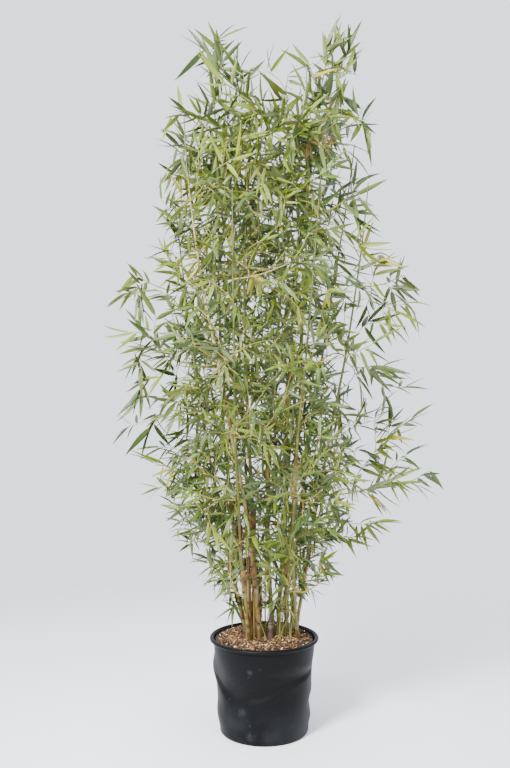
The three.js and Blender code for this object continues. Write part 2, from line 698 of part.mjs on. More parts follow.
// Tries leaves that start at the root until one fits. Each try turns further and is shorter.
function leafFrom(mass, root, heading, turnAside, leaves, random, fan = []) {
  for (let tries = 0; tries < LEAF_TRIES; tries++) {
    const turn = radians(turnAside + (random() - 0.5) * (TURN_SPREAD + EACH_TRY.turn * tries));
    const tilt = radians(LEAF_DROOP + (random() - 0.5) * (TILT_SPREAD + EACH_TRY.tilt * tries));
    const roll = radians((random() - 0.5) * ROLL_SPREAD);
    const ahead = heading.clone().applyAxisAngle(UP, turn);
    const side = new THREE.Vector3().crossVectors(ahead, UP).normalize();
    ahead.applyAxisAngle(side, tilt);
    side.applyAxisAngle(ahead, roll);
    const size = 1.08 - 0.1 * random() - Math.min(EACH_TRY.shorter * tries, MOST_SHORTENING);
    const leaf = { root, ahead, side, length: LEAF_LENGTH * size, width: LEAF_WIDTH * size };
    if (!leafFits(mass, leaf, leaves, fan)) continue;
    leaf.rib = bladePoints(leaf, [0]).slice(2);
    return leaf;
  }
  return null;
}

// Gives a limb its fan of leaves: one grows on from its end, the others stand to either side.
function dressLimb(mass, limb, leaves, random) {
  const end = limb.curve.getPoint(1);
  const outwards = end.clone().sub(mass.joint).normalize();
  const heading = limb.curve.getTangent(1).clone().add(outwards.multiplyScalar(LEAF_OUTWARDS)).normalize();
  const last = leafFrom(mass, end, heading, 0, leaves, random);
  if (!last) return false;
  limb.leaves = [last];
  const node = limbPoint(limb, 1 - NODE_LENGTH / 2 / limb.curve.getLength());
  for (const turn of LEAF_FANS) {
    const leaf = leafFrom(mass, node, heading, turn, leaves, random, limb.leaves);
    if (leaf) limb.leaves.push(leaf);
  }
  leaves.push(...limb.leaves);
  return true;
}

// A mass is a stem with twigs, one to each of its spray points that it can reach.
function growMass(mass, points, seed) {
  const random = seeded(seed);
  const leaves = [];
  const stem = massStem(mass);
  const limbs = [stem];
  if (!dressLimb(mass, stem, leaves, random)) throw new Error(mass.name + ' has no leaf on its stem');
  points.sort((a, b) => a.distanceTo(mass.joint) - b.distanceTo(mass.joint));
  for (const point of points) {
    const twig = twigTo(mass, point, stem);
    if (twig && dressLimb(mass, twig, leaves, random)) limbs.push(twig);
  }
  return limbs;
}

function massMesh(mass, points, seed) {
  const limbs = growMass(mass, points, seed).map(limbSolid);
  const { corners, faces } = facesOf(geometryOf(wholePiece(wasm.Manifold.union(limbs))));
  return named(mass.name, facetted(corners, withoutSlivers(corners, faces)), LEAF_GREEN);
}

function named(name, geometry, material) {
  const mesh = new THREE.Mesh(geometry, material);
  mesh.name = name;
  return mesh;
}

const bamboo = new THREE.Group();
bamboo.name = 'potted_bamboo';
bamboo.add(potMesh(), soilMesh(), caneMesh(STUMP));
CANES.forEach((cane) => bamboo.add(caneMesh(cane)));
const SPRAY_POINTS = sprayPoints();
MASSES.forEach((mass, i) => bamboo.add(massMesh(mass, SPRAY_POINTS[i], MASS_SEED + i)));

export default bamboo;
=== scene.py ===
"""The looks of a potted clump of bamboo, built round its CAD frame and laid out as an add-on.

The canes, the foliage's own spaces and the stems of its masses follow the rule of the part's source, in
millimetres as there. From each stem the rule is carried on to finer twigs and to leaves at life size, within
the same reach. Every mesh is made in metres, with its object at the origin.
"""

import json
import math
from collections import namedtuple
from functools import cache

import bpy
import numpy as np
from bpy.props import FloatProperty, FloatVectorProperty, IntProperty, PointerProperty
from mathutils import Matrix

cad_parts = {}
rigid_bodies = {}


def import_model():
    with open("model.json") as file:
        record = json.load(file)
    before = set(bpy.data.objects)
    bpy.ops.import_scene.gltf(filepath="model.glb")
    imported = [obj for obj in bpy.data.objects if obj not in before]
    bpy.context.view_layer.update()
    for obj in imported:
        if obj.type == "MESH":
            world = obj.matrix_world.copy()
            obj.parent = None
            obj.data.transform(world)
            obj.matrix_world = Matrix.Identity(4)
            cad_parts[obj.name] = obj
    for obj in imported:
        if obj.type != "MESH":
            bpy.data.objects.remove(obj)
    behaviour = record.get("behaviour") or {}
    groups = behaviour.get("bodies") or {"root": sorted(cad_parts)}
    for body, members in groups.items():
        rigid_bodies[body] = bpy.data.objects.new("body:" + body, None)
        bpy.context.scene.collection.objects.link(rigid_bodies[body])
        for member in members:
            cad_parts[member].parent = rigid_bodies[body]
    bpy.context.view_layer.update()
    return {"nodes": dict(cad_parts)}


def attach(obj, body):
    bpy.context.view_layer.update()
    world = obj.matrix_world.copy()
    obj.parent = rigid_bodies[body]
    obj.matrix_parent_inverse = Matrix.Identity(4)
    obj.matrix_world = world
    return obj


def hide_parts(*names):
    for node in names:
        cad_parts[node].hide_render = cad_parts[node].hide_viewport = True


bl_info = {
    "name": "Potted bamboo",
    "version": (1, 0, 0),
    "blender": (4, 5, 0),
    "location": "View3D > Sidebar > Bamboo",
    "description": "Builds a clump of bamboo in a plastic nursery pot",
    "category": "Object",
}

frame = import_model()
MASS_NODES = sorted(name for name in frame["nodes"] if name.startswith("foliage_"))
MM = 0.001

# Driving dimensions, in millimetres
PLANT_HEIGHT = 1710
POT_HEIGHT = 225
RIM_RADIUS = 130
WALL_TOP_RADIUS = 121
WALL_FOOT_RADIUS = 105
WALL = 2
FLOOR = 3
RIM_ROLL = 9
FOOT_CHAMFER = 5
FOOT_RECESS = 1.2
SOIL_LEVEL = 222
SOIL_EDGE_DROP = 12
SOIL_FLAT_RADIUS = 88
SOIL_CLEAR = 2.2
GAP = 0.3
# The soil that is seen: it drops less to the wall, and is heaped up round the canes.
SOIL_VISIBLE_DROP = 0.15
SOIL_SKIN = 2  # how far its top lies under the soil's level
CRUMB_HEIGHT = 1.4
MOUND_MIDDLE = (14, -2)
MOUND_REACH = 58
MOUND_HEIGHT = 7

# Dents of the wall, by turn in degrees and height: the four broad ones first, then bulges and small
# dents beside them. A slant is the height gained for each degree of turn.
Dent = namedtuple("Dent", "turn height depth half_turn half_height slant", defaults=(0,))
DENTS = [
    Dent(turn=-62, height=128, depth=3.6, half_turn=34, half_height=62),
    Dent(turn=-128, height=98, depth=4.2, half_turn=24, half_height=66),
    Dent(turn=-8, height=150, depth=2.4, half_turn=22, half_height=52),
    Dent(turn=95, height=105, depth=3.6, half_turn=36, half_height=64),
    Dent(turn=178, height=152, depth=-7, half_turn=34, half_height=42),
    Dent(turn=-172, height=48, depth=-4, half_turn=30, half_height=40),
    Dent(turn=-4, height=76, depth=4, half_turn=26, half_height=26),
    Dent(turn=2, height=38, depth=-2.5, half_turn=24, half_height=18),
    Dent(turn=-100, height=52, depth=-2.5, half_turn=40, half_height=38),
    Dent(turn=-74, height=158, depth=2, half_turn=30, half_height=9, slant=-0.3),
    Dent(turn=60, height=70, depth=4, half_turn=30, half_height=30, slant=0.5),
]
# Folds: the wall is pushed in sharply at the lower line, and comes back gently up to the upper line.
Fold = namedtuple("Fold", "turns lower upper depth")
FOLDS = [
    Fold(
        turns=[-185, -160, -133, -92, -62, -30, -2],
        lower=[150, 124, 95, 108, 134, 146, 150],
        upper=[196, 196, 194, 188, 184, 176, 158],
        depth=6,
    ),
    Fold(turns=[35, 70, 110, 150], lower=[132, 96, 104, 140], upper=[176, 186, 190, 172], depth=5),
]
FOLD_EDGE = 0.14  # half the height of the step at the lower line, as a share of the fold's
FOLD_RUN_OUT = 24  # the degrees over which a fold ends

Cane = namedtuple("Cane", "name way height radius")
CANES = [
    Cane("left_leader", [(-20, 14), (-94, 8), (-109, 2), (-125, 0)], 1600, 5.6),
    Cane("right_leader", [(56, 22), (54, 26), (83, 30), (150, 14)], 1600, 5.6),
    Cane("middle", [(25, 2), (12, -4), (45, -6), (53, -2)], 1540, 5.2),
    Cane("bunched", [(-17, -12), (-34, -40), (-46, -56), (-18, -44)], 1500, 5),
    Cane("straw", [(-12, -34), (-60, -80), (-138, -96), (-186, -84)], 1440, 5),
    Cane("right_thin", [(50, -12), (74, -40), (96, -52), (100, -40)], 1560, 3.6),
    Cane("right_second", [(68, 40), (104, 84), (166, 96), (224, 76)], 1420, 4.8),
    Cane("right_outer", [(76, 2), (132, -16), (196, -50), (240, -78)], 1290, 4.4),
    Cane("left_outer", [(-40, 2), (-122, 56), (-180, 80), (-222, 84)], 1300, 4.6),
    Cane("front_left", [(-34, -46), (-60, -142), (-68, -186), (-70, -198)], 1250, 4.4),
    Cane("front_right", [(80, -24), (66, -122), (90, -172), (118, -186)], 1230, 4.4),
    Cane("back_left", [(-14, 48), (-46, 132), (-66, 178), (-84, 194)], 1350, 4.6),
    Cane("back_right", [(34, 54), (62, 142), (98, 182), (128, 194)], 1330, 4.6),
]
STUMP = Cane("stump", [(14, -26), (15, -27), (16, -28), (17, -28)], 304, 9)
STUMP_JOINT = 262
DRY_CANE = "straw"
CANE_TIP_RADIUS = 1.3
CANE_TAPER = 1.25  # over 1, a cane thins more towards its tip
FIRST_INTERNODE = 74
INTERNODE_BASE = 0.85
INTERNODE_BY_RADIUS = 0.03  # thick canes have longer internodes
LOWEST_JOINT = 0.55  # its height over the soil, in first internodes
END_PIECE = 0.4  # the least that a cane goes on over its last joint, in longest internodes
INTERNODE_GROWTH = 1.18
LONGEST_INTERNODE = 178
JOINT_SWELL = 1.28
FOOT_FLARE = 1.3

# The crown's outline: how far its furthest leaf tips reach at each height
CROWN_OUTLINE = np.array(
    [  # height, left, right, deep
        (235, 95, 100, 90),
        (300, 150, 150, 135),
        (440, 215, 290, 215),
        (575, 335, 466, 290),
        (720, 384, 405, 325),
        (900, 390, 400, 330),
        (1060, 378, 392, 320),
        (1200, 280, 300, 275),
        (1460, 246, 290, 235),
        (1620, 222, 262, 130),
        (PLANT_HEIGHT, 200, 226, 110),
    ],
    float,
)
SHOULDER = 1440
TUFT_RADIUS = 98
TUFT_RISE = 110

# The masses and their stems, as in the part's source
TIERS = [350, 520, 700, 880, 1060, 1240, 1420, 1540]
MASS_SPACING = 175
MASS_RISE = 34
MASS_SWINGS = [0, 45, -45, 90, -90, 135, -135, 180]
MASS_REACHES = [0.5, 0.36, 0.22]
MASS_REACH = 0.9
LEAST_ROOM = 60
JOINT_DEPTH = 14
STEM_RADIUS = 3.2
STEM_SWINGS = [0, 20, -20, 40, -40, 65, -65, 95, -95]
STEM_LENGTHS = [1, 0.8, 0.6]
STEM_SPREAD = 0.4
STEM_LEAST_SPREAD = 16
TURN_COST = 0.7
CELL_MARGIN = 1.5
CANE_MARGIN = 4
CHECK_STEP = 9
CURVE_STEPS = 200  # for measuring the length of a stem's curve

# The finer growth. The crown's body is dense, and a few sprays reach from it to the outline.
CROWN_BODY = np.array(
    [  # height, left, right, deep
        (235, 50, 58, 50),
        (300, 92, 100, 88),
        (380, 164, 152, 130),
        (470, 222, 174, 178),
        (575, 232, 214, 196),
        (720, 236, 216, 205),
        (800, 236, 176, 202),
        (870, 236, 146, 202),
        (930, 236, 160, 202),
        (1000, 236, 192, 200),
        (1130, 232, 174, 196),
        (1220, 228, 156, 190),
        (1310, 222, 166, 180),
        (1400, 206, 186, 168),
        (1460, 172, 212, 150),
        (1510, 142, 204, 136),
        (PLANT_HEIGHT, 140, 232, 110),
    ],
    float,
)
# Leafy boughs that reach from the body to the outline: across, up, and how many sprays each has
OUTLYING_BOUGHS = [
    (-328, 1040, 4),
    (-316, 950, 4),
    (-292, 866, 3),
    (-300, 794, 3),
    (-326, 724, 5),
    (-262, 760, 2),
    (-256, 574, 2),
    (-262, 630, 1),
    (328, 1066, 4),
    (284, 994, 2),
    (344, 1018, 3),
    (300, 1086, 2),
    (336, 816, 4),
    (286, 866, 3),
    (308, 704, 3),
    (350, 742, 3),
    (400, 616, 5),
    (340, 660, 3),
    (276, 1140, 2),
    (-230, 1400, 2),
    (-240, 1330, 3),
    (-224, 1456, 2),
    (-244, 1262, 3),
    (300, 574, 2),
    (262, 760, 2),
    (196, 456, 2),
    (266, 502, 3),
    (-222, 622, 3),
    (-204, 586, 3),
    (-196, 506, 3),
    (-204, 480, 3),
    (206, 486, 3),
    (250, 640, 3),
    (244, 580, 2),
    (-160, 520, 2),
    (150, 440, 2),
    (172, 520, 2),
    (140, 480, 2),
    (232, 1130, 2),
    (268, 846, 3),
    (262, 736, 2),
    (270, 666, 3),
    (-306, 1056, 2),
    (-296, 902, 2),
    (-290, 830, 2),
]
BOUGH_STEP = 36  # between the sprays of such a bough
BOUGH_RISE = 0.42  # its slope
BOUGH_SCATTER = 13
# The last sprays at the top: across, back and up. Above the crest's height there are no others.
CREST = 1560
CREST_SPRAYS = [
    (-142, 0, 1626),
    (-114, -12, 1640),
    (-92, 14, 1624),
    (-120, 22, 1600),
    (-64, 10, 1590),
    (-98, -26, 1586),
    (-78, -8, 1556),
    (-118, 6, 1562),
    (-44, 18, 1560),
    (-100, 8, 1528),
    (-84, -16, 1544),
    (-60, 24, 1536),
    (146, -8, 1630),
    (164, 14, 1632),
    (186, 4, 1628),
    (200, -12, 1618),
    (200, 24, 1594),
    (146, 2, 1600),
    (224, 10, 1568),
    (172, 30, 1584),
    (194, -14, 1564),
    (212, 34, 1612),
    (160, -22, 1562),
    (108, -30, 1576),
    (8, -20, 1566),
    (58, 6, 1570),
    (244, 56, 1508),
    (256, 70, 1476),
    (236, 30, 1532),
    (262, 48, 1444),
    (268, 62, 1500),
    (280, 72, 1466),
    (284, 56, 1432),
    (254, 88, 1516),
]
HOLLOW = (-50, 112)  # between the two crests
HOLLOW_TOP = 1500
OUTLYING_DEPTH = 40  # how far to the front or back a bough may lie
OUTLYING_SPACING = 0.5  # how near to each other its sprays may be, as a share of the others' spacing
BARE_FEET = (-26, 30)  # the middle and half the width of the clump's bare front, over the soil
BARE_FEET_BACK = 6
BARE_FEET_TOP = 450
LOWEST_SPRAY = 275
CANE_DRESS = 34  # how near a cane outside the body sprays still grow
CANE_DRESS_FROM = 900
BULGE_SHARE = 0.8  # of the body's width: nearer its middle, sprays also bulge to the front and back
PATCHINESS = 0.24  # how much further apart sprays are between clumps, and closer in them
CLUMP_SPACING = 130
WAVES = 7
SPRAY_TRIES = 60000
SPRAY_REACH = 0.72  # how far the leaves reach past their twig's end, in leaf lengths
TOP_ROOM = 0.5  # what is left for leaves over the highest twig, in leaf lengths
TWIG_POINTS = 8
TWIG_AHEAD = 0.45  # how much a twig sets out as its parent goes there
TWIG_TURN = 0.55  # how much it sets out for its end
TWIG_ARCH = 0.22
TWIG_BEND = 0.45  # the share of its length before it bends
TWIG_WAYS = 5  # how many places on the limbs grown so far are tried for it
WAY_COST = 0.3
FIRST_FORK = 2  # the first of a limb's points that twigs branch from
TWIG_CLEAR = 0.6

# Leaves and sprays. A vigour scales a whole spray, and a stray is a spread, in degrees or as a share.
Leaves = namedtuple("Leaves", "place ahead normal size spray")
LEAVES_OF_SPRAY = {"counts": [3, 4, 5, 6], "shares": [0.22, 0.34, 0.28, 0.16]}
OUTLYING_SHARE = 0.97  # of the body's width: sprays beyond it have one leaf more
LEAF_STEP = 7.5  # along the twig, from one leaf to the next
LEAF_TRIES = 6
FAN_ANGLES = np.array([5, 33, 42, 54, 62, 66])  # from the last leaf backwards
FAN_LENGTHS = np.array([1.0, 1.05, 1.0, 0.9, 0.78, 0.66])
FAN_STRAY = (12, 4)  # at first, and more with each new try
DIP = 12  # how far leaves hang below their spray's heading, in degrees
DIP_STRAY = (20, 3)
ROLL_STRAY = 34
PLANE_STRAY = 0.75
VIGOURS = (0.76, 1.16)
LEAF_SIZES = (0.78, 1.14)
RETRY_SIZE = 0.93  # how much smaller a leaf is at each new try
ALONG_TWIG = 0.7
OUTWARDS = 0.5

# Tables of heights, or of shares of the body's reach, and of what holds at each
SPACING_BY_HEIGHT = ([300, 430, 560, 720], [0.8, 0.82, 0.94, 1])
SPACING_BY_SHARE = ([0, 0.35, 0.68, 0.92, 1.02], [1.3, 1.1, 0.94, 1.14, 1.7])
LIFT_BY_HEIGHT = ([300, 700, 1200, 1450, 1700], [-0.06, -0.02, 0.06, 0.36, 1.3])
STRAY_BY_SHARE = ([0, 0.8, 1.0, 1.15], [0.7, 0.5, 0.36, 0.18])
SIZE_BY_HEIGHT = ([300, 480, 1150, 1450, 1600], [0.66, 0.7, 0.76, 0.98, 1.1])
SIZE_BY_ACROSS = ([0.85, 1.12], [1, 1.4])

SEED = 11
UP = np.array([0.0, 0.0, 1.0])
Mass = namedtuple("Mass", "name cane joint away middle")


def linear(hex_colour):
    """An sRGB hex colour as linear red, green, blue and a full alpha."""
    channels = [int(hex_colour[i : i + 2], 16) / 255 for i in (1, 3, 5)]
    return (*(c / 12.92 if c <= 0.04045 else ((c + 0.055) / 1.055) ** 2.4 for c in channels), 1.0)


def unit(vectors):
    """Vectors, or one vector, at length 1."""
    return vectors / np.maximum(np.linalg.norm(vectors, axis=-1, keepdims=True), 1e-9)


def turned(vectors, axes, degrees):
    """Vectors turned about axes of length 1."""
    angle = np.radians(degrees)[..., None] if np.ndim(degrees) else math.radians(degrees)
    along = np.sum(vectors * axes, axis=-1, keepdims=True)
    side = np.cross(axes, vectors)
    return vectors * np.cos(angle) + side * np.sin(angle) + axes * along * (1 - np.cos(angle))


# Settings


def colour_setting(name, description, hex_colour):
    """A colour that a user can change."""
    return FloatVectorProperty(
        name=name, description=description, subtype="COLOR", size=4, default=linear(hex_colour)
    )


def length_setting(name, description, default, precision=4):
    """A length in metres that a user can change."""
    return FloatProperty(
        name=name, description=description, unit="LENGTH", default=default, precision=precision
    )


class PotSettings(bpy.types.PropertyGroup):
    """The blow-moulded pot."""

    sides: IntProperty(name="Sides", description="Faces round the wall", default=160, min=32)
    plastic: colour_setting("Plastic", "Charcoal polypropylene", "#050607")
    # Dust, and also the colour of the painted sheen spots on the front left of the wall
    dust_and_painted_sheen: colour_setting("Dust", "Dried potting dust and scuffs", "#4a4f54")


class SoilSettings(bpy.types.PropertyGroup):
    """The potting soil and the bark chips on it."""

    chip_spacing: length_setting("Chip spacing", "Least distance between two chips of a kind", 0.0062)
    humus: colour_setting("Humus", "Moist soil between the chips", "#1d140d")


class CaneSettings(bpy.types.PropertyGroup):
    """The jointed canes and their dry sheaths."""

    sides: IntProperty(name="Sides", description="Faces round a cane", default=14, min=6)
    zigzag: length_setting("Zigzag", "Sidestep at each joint", 0.0012)
    culm: colour_setting("Culm", "Living cane", "#565714")
    straw: colour_setting("Straw", "Dry cane", "#c4aa70")
    sheath: colour_setting("Sheath", "Papery culm sheath", "#84642c")


class CrownSettings(bpy.types.PropertyGroup):
    """The twigs and leaves."""

    spray_spacing: length_setting("Spray spacing", "Least distance between the ends of two twigs", 0.0334)
    leaf_length: length_setting("Leaf length", "Of a middling leaf", 0.077)
    leaf_width: length_setting("Leaf width", "Of a middling leaf", 0.0104)
    twig_tip: length_setting("Twig tip", "Radius at a twig's end", 0.00068, precision=5)
    twig: colour_setting("Twig", "Straw-coloured twig", "#857335")


class StageSettings(bpy.types.PropertyGroup):
    """The floor, the lights and the camera."""

    camera_place: FloatVectorProperty(
        name="Camera", description="Where the camera stands", unit="LENGTH", default=(-0.022, -2.083, 0.826)
    )
    lens: FloatProperty(name="Lens", description="Focal length in millimetres", default=40.8)
    backdrop: colour_setting("Backdrop", "Pale surroundings", "#dcdfe8")


# The rule of growth, in millimetres


def cane_at(cane, heights):
    """The middle of a cane at some heights: the smooth curve over the four places of its way."""
    heights = np.atleast_1d(np.asarray(heights, float))
    t = np.clip((heights - SOIL_LEVEL) / (cane.height - SOIL_LEVEL), 0, 1)
    shares = np.column_stack(
        [
            -(3 * t - 1) * (3 * t - 2) * (t - 1) / 2,
            9 * t * (3 * t - 2) * (t - 1) / 2,
            -9 * t * (3 * t - 1) * (t - 1) / 2,
            t * (3 * t - 1) * (3 * t - 2) / 2,
        ]
    )
    return np.column_stack([shares @ np.array(cane.way, float), heights])


def cane_radius(cane, heights):
    """A cane's radius at some heights, apart from its joints and its foot."""
    along = np.clip((np.asarray(heights, float) - SOIL_LEVEL) / (cane.height - SOIL_LEVEL), 0, 1)
    return cane.radius + (CANE_TIP_RADIUS - cane.radius) * along**CANE_TAPER


def joint_heights(cane):
    """Heights of a cane's joints. They are closer together near the soil."""
    heights = []
    step = FIRST_INTERNODE * (INTERNODE_BASE + INTERNODE_BY_RADIUS * cane.radius)
    height = SOIL_LEVEL + step * LOWEST_JOINT
    while height < cane.height - LONGEST_INTERNODE * END_PIECE:
        heights.append(height)
        step = min(step * INTERNODE_GROWTH, LONGEST_INTERNODE)
        height += step
    return np.array(heights)


def reaches(outline, heights):
    """An outline's reach to the left, to the right, and to the front and back."""
    return [np.interp(heights, outline[:, 0], outline[:, side]) for side in (1, 2, 3)]


def share_of(outline, points):
    """Distance from the clump's axis over an outline's reach there, and the same for its sideways
    part alone."""
    left, right, deep = reaches(outline, points[:, 2])
    across = points[:, 0] / np.where(points[:, 0] < 0, left, right)
    return np.hypot(across, points[:, 1] / deep), np.abs(across)


def reach_share(points):
    """Distance from the clump's axis over the crown's reach there: 1 is on the outline."""
    share, _ = share_of(CROWN_OUTLINE, points)
    outside = (points[:, 2] < CROWN_OUTLINE[0, 0]) | (points[:, 2] > PLANT_HEIGHT)
    return np.where(outside, np.inf, share)


def inside_crown(points, reach=1.0):
    """True for the points inside the crown, or inside its outline shrunk to a share of the reach."""
    near_cane = points[:, 2] < SHOULDER
    for cane in CANES:
        middle = cane_at(cane, np.minimum(points[:, 2], cane.height))
        away = np.hypot(*(points - middle)[:, :2].T)
        near_cane |= (points[:, 2] < cane.height + TUFT_RISE) & (away < TUFT_RADIUS * reach)
    return near_cane & (reach_share(points) <= reach)


def cane_clearance(points):
    """The least distance from each point to the surface of any cane."""
    least = np.full(len(points), np.inf)
    for cane in [*CANES, STUMP]:
        heights = np.clip(points[:, 2], SOIL_LEVEL, cane.height)
        away = np.linalg.norm(points - cane_at(cane, heights), axis=1)
        least = np.minimum(least, away - cane_radius(cane, heights) * JOINT_SWELL)
    return least


def mass_at(cane, height, swing, reach):
    """A mass grows from a joint, and its middle is part of the way from there to the outline."""
    joint = cane_at(cane, height)[0]
    away = turned(unit(joint * (1, 1, 0)), UP, swing)
    left, right, deep = reaches(CROWN_OUTLINE, height)
    room = (left if away[0] < 0 else right) * abs(away[0]) + deep * abs(away[1])
    out = max(room - math.hypot(joint[0], joint[1]), LEAST_ROOM) * reach
    return Mass("", cane, joint, away, joint + away * out + UP * MASS_RISE)


def cell_depths(index, points, middles):
    """How far points are inside a mass's own space, which ends halfway to the other masses."""
    others = np.delete(middles, index, axis=0)
    between = np.linalg.norm(others - middles[index], axis=1)
    to_others = np.sum((points[:, None] - others) ** 2, axis=2)
    closer = to_others - np.sum((points - middles[index]) ** 2, axis=1)[:, None]
    return np.min(closer / (2 * between), axis=1, initial=np.inf)


def mass_has_room(mass, masses):
    """True if a mass keeps inside the crown, and it and the others keep room round their joints."""
    if not inside_crown(mass.middle[None], MASS_REACH)[0]:
        return False
    if any(np.linalg.norm(other.middle - mass.middle) < MASS_SPACING for other in masses):
        return False
    together = [*masses, mass]
    middles = np.array([each.middle for each in together])
    return all(
        cell_depths(i, each.joint[None], middles)[0] > JOINT_DEPTH for i, each in enumerate(together)
    )


@cache
def mass_plan():
    """Goes up the crown tier by tier and gives a mass to each joint that has room for one."""
    masses = []
    for level, tier in enumerate(TIERS, 1):
        canes = [cane for cane in CANES if cane.height > tier]
        canes.sort(key=lambda cane: -reach_share(cane_at(cane, tier))[0])
        for cane in canes:
            joints = joint_heights(cane)
            height = joints[np.argmin(np.abs(joints - tier))]
            choices = (mass_at(cane, height, s, r) for r in MASS_REACHES for s in MASS_SWINGS)
            mass = next((choice for choice in choices if mass_has_room(choice, masses)), None)
            if mass:
                masses.append(mass._replace(name=f"foliage_{cane.name}_{level}"))
    if sorted(mass.name for mass in masses) != MASS_NODES:
        raise RuntimeError("the masses planned here aren't the frame's foliage nodes")
    return masses


def curved(start, control, end, count):
    """Points along a quadratic curve."""
    t = np.linspace(0, 1, count)[:, None]
    return start * (1 - t) ** 2 + control * 2 * t * (1 - t) + end * t**2


def stem_fits(line, index, middles):
    """True if a stem keeps inside the crown and its mass's own space, and clear of the canes."""
    way = np.linalg.norm(np.diff(curved(*line, CURVE_STEPS), axis=0), axis=1)
    steps = math.ceil(np.sum(way) / CHECK_STEP)
    start, bend, end = curved(*line, 3)
    along = np.linspace(0, 2, steps + 1)[:, None]
    points = np.where(along < 1, start + (bend - start) * along, bend + (end - bend) * (along - 1))
    if not inside_crown(points).all():
        return False
    if cell_depths(index, points, middles).min() < CELL_MARGIN + STEM_RADIUS:
        return False
    past_cane = np.arange(steps + 1) * CHECK_STEP >= 3 * CANE_MARGIN
    return (cane_clearance(points[past_cane]) >= CANE_MARGIN + STEM_RADIUS).all()


def mass_stem(index, masses):
    """The stem leaves its joint square to the cane and rises towards the mass's middle."""
    mass = masses[index]
    middles = np.array([each.middle for each in masses])
    below, above = cane_at(mass.cane, [mass.joint[2] - 5, mass.joint[2] + 5])
    cane_ahead = unit(above - below)
    for swing in STEM_SWINGS:
        away = turned(mass.away, UP, swing)
        away = unit(away - cane_ahead * (away @ cane_ahead))
        start = mass.joint + away * (cane_radius(mass.cane, mass.joint[2]) * JOINT_SWELL + GAP)
        control = start + away * max(STEM_SPREAD * np.linalg.norm(mass.middle - start), STEM_LEAST_SPREAD)
        for share in STEM_LENGTHS:
            line = (start, control, start + (mass.middle - start) * share)
            if stem_fits(line, index, middles):
                return line
    raise RuntimeError(f"{mass.name} has no way out for its stem")


# The finer growth: twigs and leaves


class Limb:
    """A stem or a twig: its line in millimetres, what it grows from, and how many sprays it carries."""

    def __init__(self, line, parent=None):
        self.line = line
        self.parent = parent
        self.carried = 1
        while parent:
            parent.carried += 1
            parent = parent.parent

    def heads(self):
        """Its direction at each of its points."""
        return unit(np.gradient(self.line, axis=0))


def waves(points):
    """A smooth random field of about -1 to 1, with a wave as long as the foliage's clumps are far apart."""
    random = np.random.default_rng(SEED + 5)
    ways = unit(random.normal(0, 1, (WAVES, 3)) * (1, 0.4, 1)) * 2 * math.pi / CLUMP_SPACING
    scales = random.uniform(0.7, 1.4, WAVES)
    total = np.sin(points @ ways.T * scales + random.uniform(0, 2 * math.pi, WAVES))
    return np.clip(total.sum(axis=1) / math.sqrt(WAVES), -1, 1)


def spray_spacing(points, spacing):
    """Sprays stand closer low down, and further apart deep inside, between clumps, and where they
    bulge from the crown's body."""
    share, _ = share_of(CROWN_BODY, points)
    by_height = np.interp(points[:, 2], *SPACING_BY_HEIGHT)
    by_share = np.interp(share, *SPACING_BY_SHARE)
    return spacing * by_height * by_share * (1 + PATCHINESS * waves(points))


def outlying_points(random):
    """The sprays of the outlying boughs, from each bough's end back towards the crown, and the crests'."""
    points = []
    for across, up, count in OUTLYING_BOUGHS:
        side = math.copysign(1, across)
        depth = random.uniform(-OUTLYING_DEPTH, OUTLYING_DEPTH)
        for number in range(count):
            back = number * BOUGH_STEP * np.array([-side, 0, -BOUGH_RISE])
            scatter = random.normal(0, BOUGH_SCATTER, 3) * (number > 0)
            points.append(np.array([across, depth, up]) + back + scatter)
    points = np.vstack([points, CREST_SPRAYS])
    return points[inside_crown(points)]


def spray_points(spacing, leaf_length, random):
    """The ends of all the twigs, spread through the crown so that leaf tips come near its outline."""
    low = (-CROWN_OUTLINE[:, 1].max(), -CROWN_OUTLINE[:, 3].max(), CROWN_OUTLINE[0, 0])
    high = (CROWN_OUTLINE[:, 2].max(), CROWN_OUTLINE[:, 3].max(), PLANT_HEIGHT - TOP_ROOM * leaf_length)
    outlying = outlying_points(random)
    offered = random.uniform(low, high, (SPRAY_TRIES, 3))
    tips = offered + unit(offered * (1, 1, 0)) * SPRAY_REACH * leaf_length
    share, across = share_of(CROWN_BODY, offered)
    allowed_near = (cane_clearance(offered) < CANE_DRESS) & (offered[:, 2] > CANE_DRESS_FROM)
    hollow = (offered[:, 0] > HOLLOW[0]) & (offered[:, 0] < HOLLOW[1])
    allowed = (share < 1) | (across < BULGE_SHARE) | allowed_near
    allowed &= offered[:, 2] < np.where(hollow, HOLLOW_TOP, CREST)
    bare = (np.abs(offered[:, 0] - BARE_FEET[0]) < BARE_FEET[1]) & (offered[:, 1] < BARE_FEET_BACK)
    allowed &= ~(bare & (offered[:, 2] < BARE_FEET_TOP)) & (offered[:, 2] > LOWEST_SPRAY)
    allowed &= inside_crown(tips) & inside_crown(offered) & (cane_clearance(offered) > 2 * CANE_MARGIN)
    offered = np.vstack([outlying, offered[allowed]])
    spacings = spray_spacing(offered, spacing)
    spacings[: len(outlying)] *= OUTLYING_SPACING
    kept = np.empty_like(offered)
    count = 0
    for point, least in zip(offered, spacings):
        if count == 0 or np.min(np.sum((kept[:count] - point) ** 2, axis=1)) > least**2:
            kept[count] = point
            count += 1
    return kept[:count]


def arching(start, head, end):
    """A twig's line: it leaves along its parent, turns to its end and arches a little upwards."""
    run = end - start
    lean = unit(TWIG_AHEAD * head + TWIG_TURN * unit(run) + TWIG_ARCH * UP)
    return curved(start, start + lean * TWIG_BEND * np.linalg.norm(run), end, TWIG_POINTS)


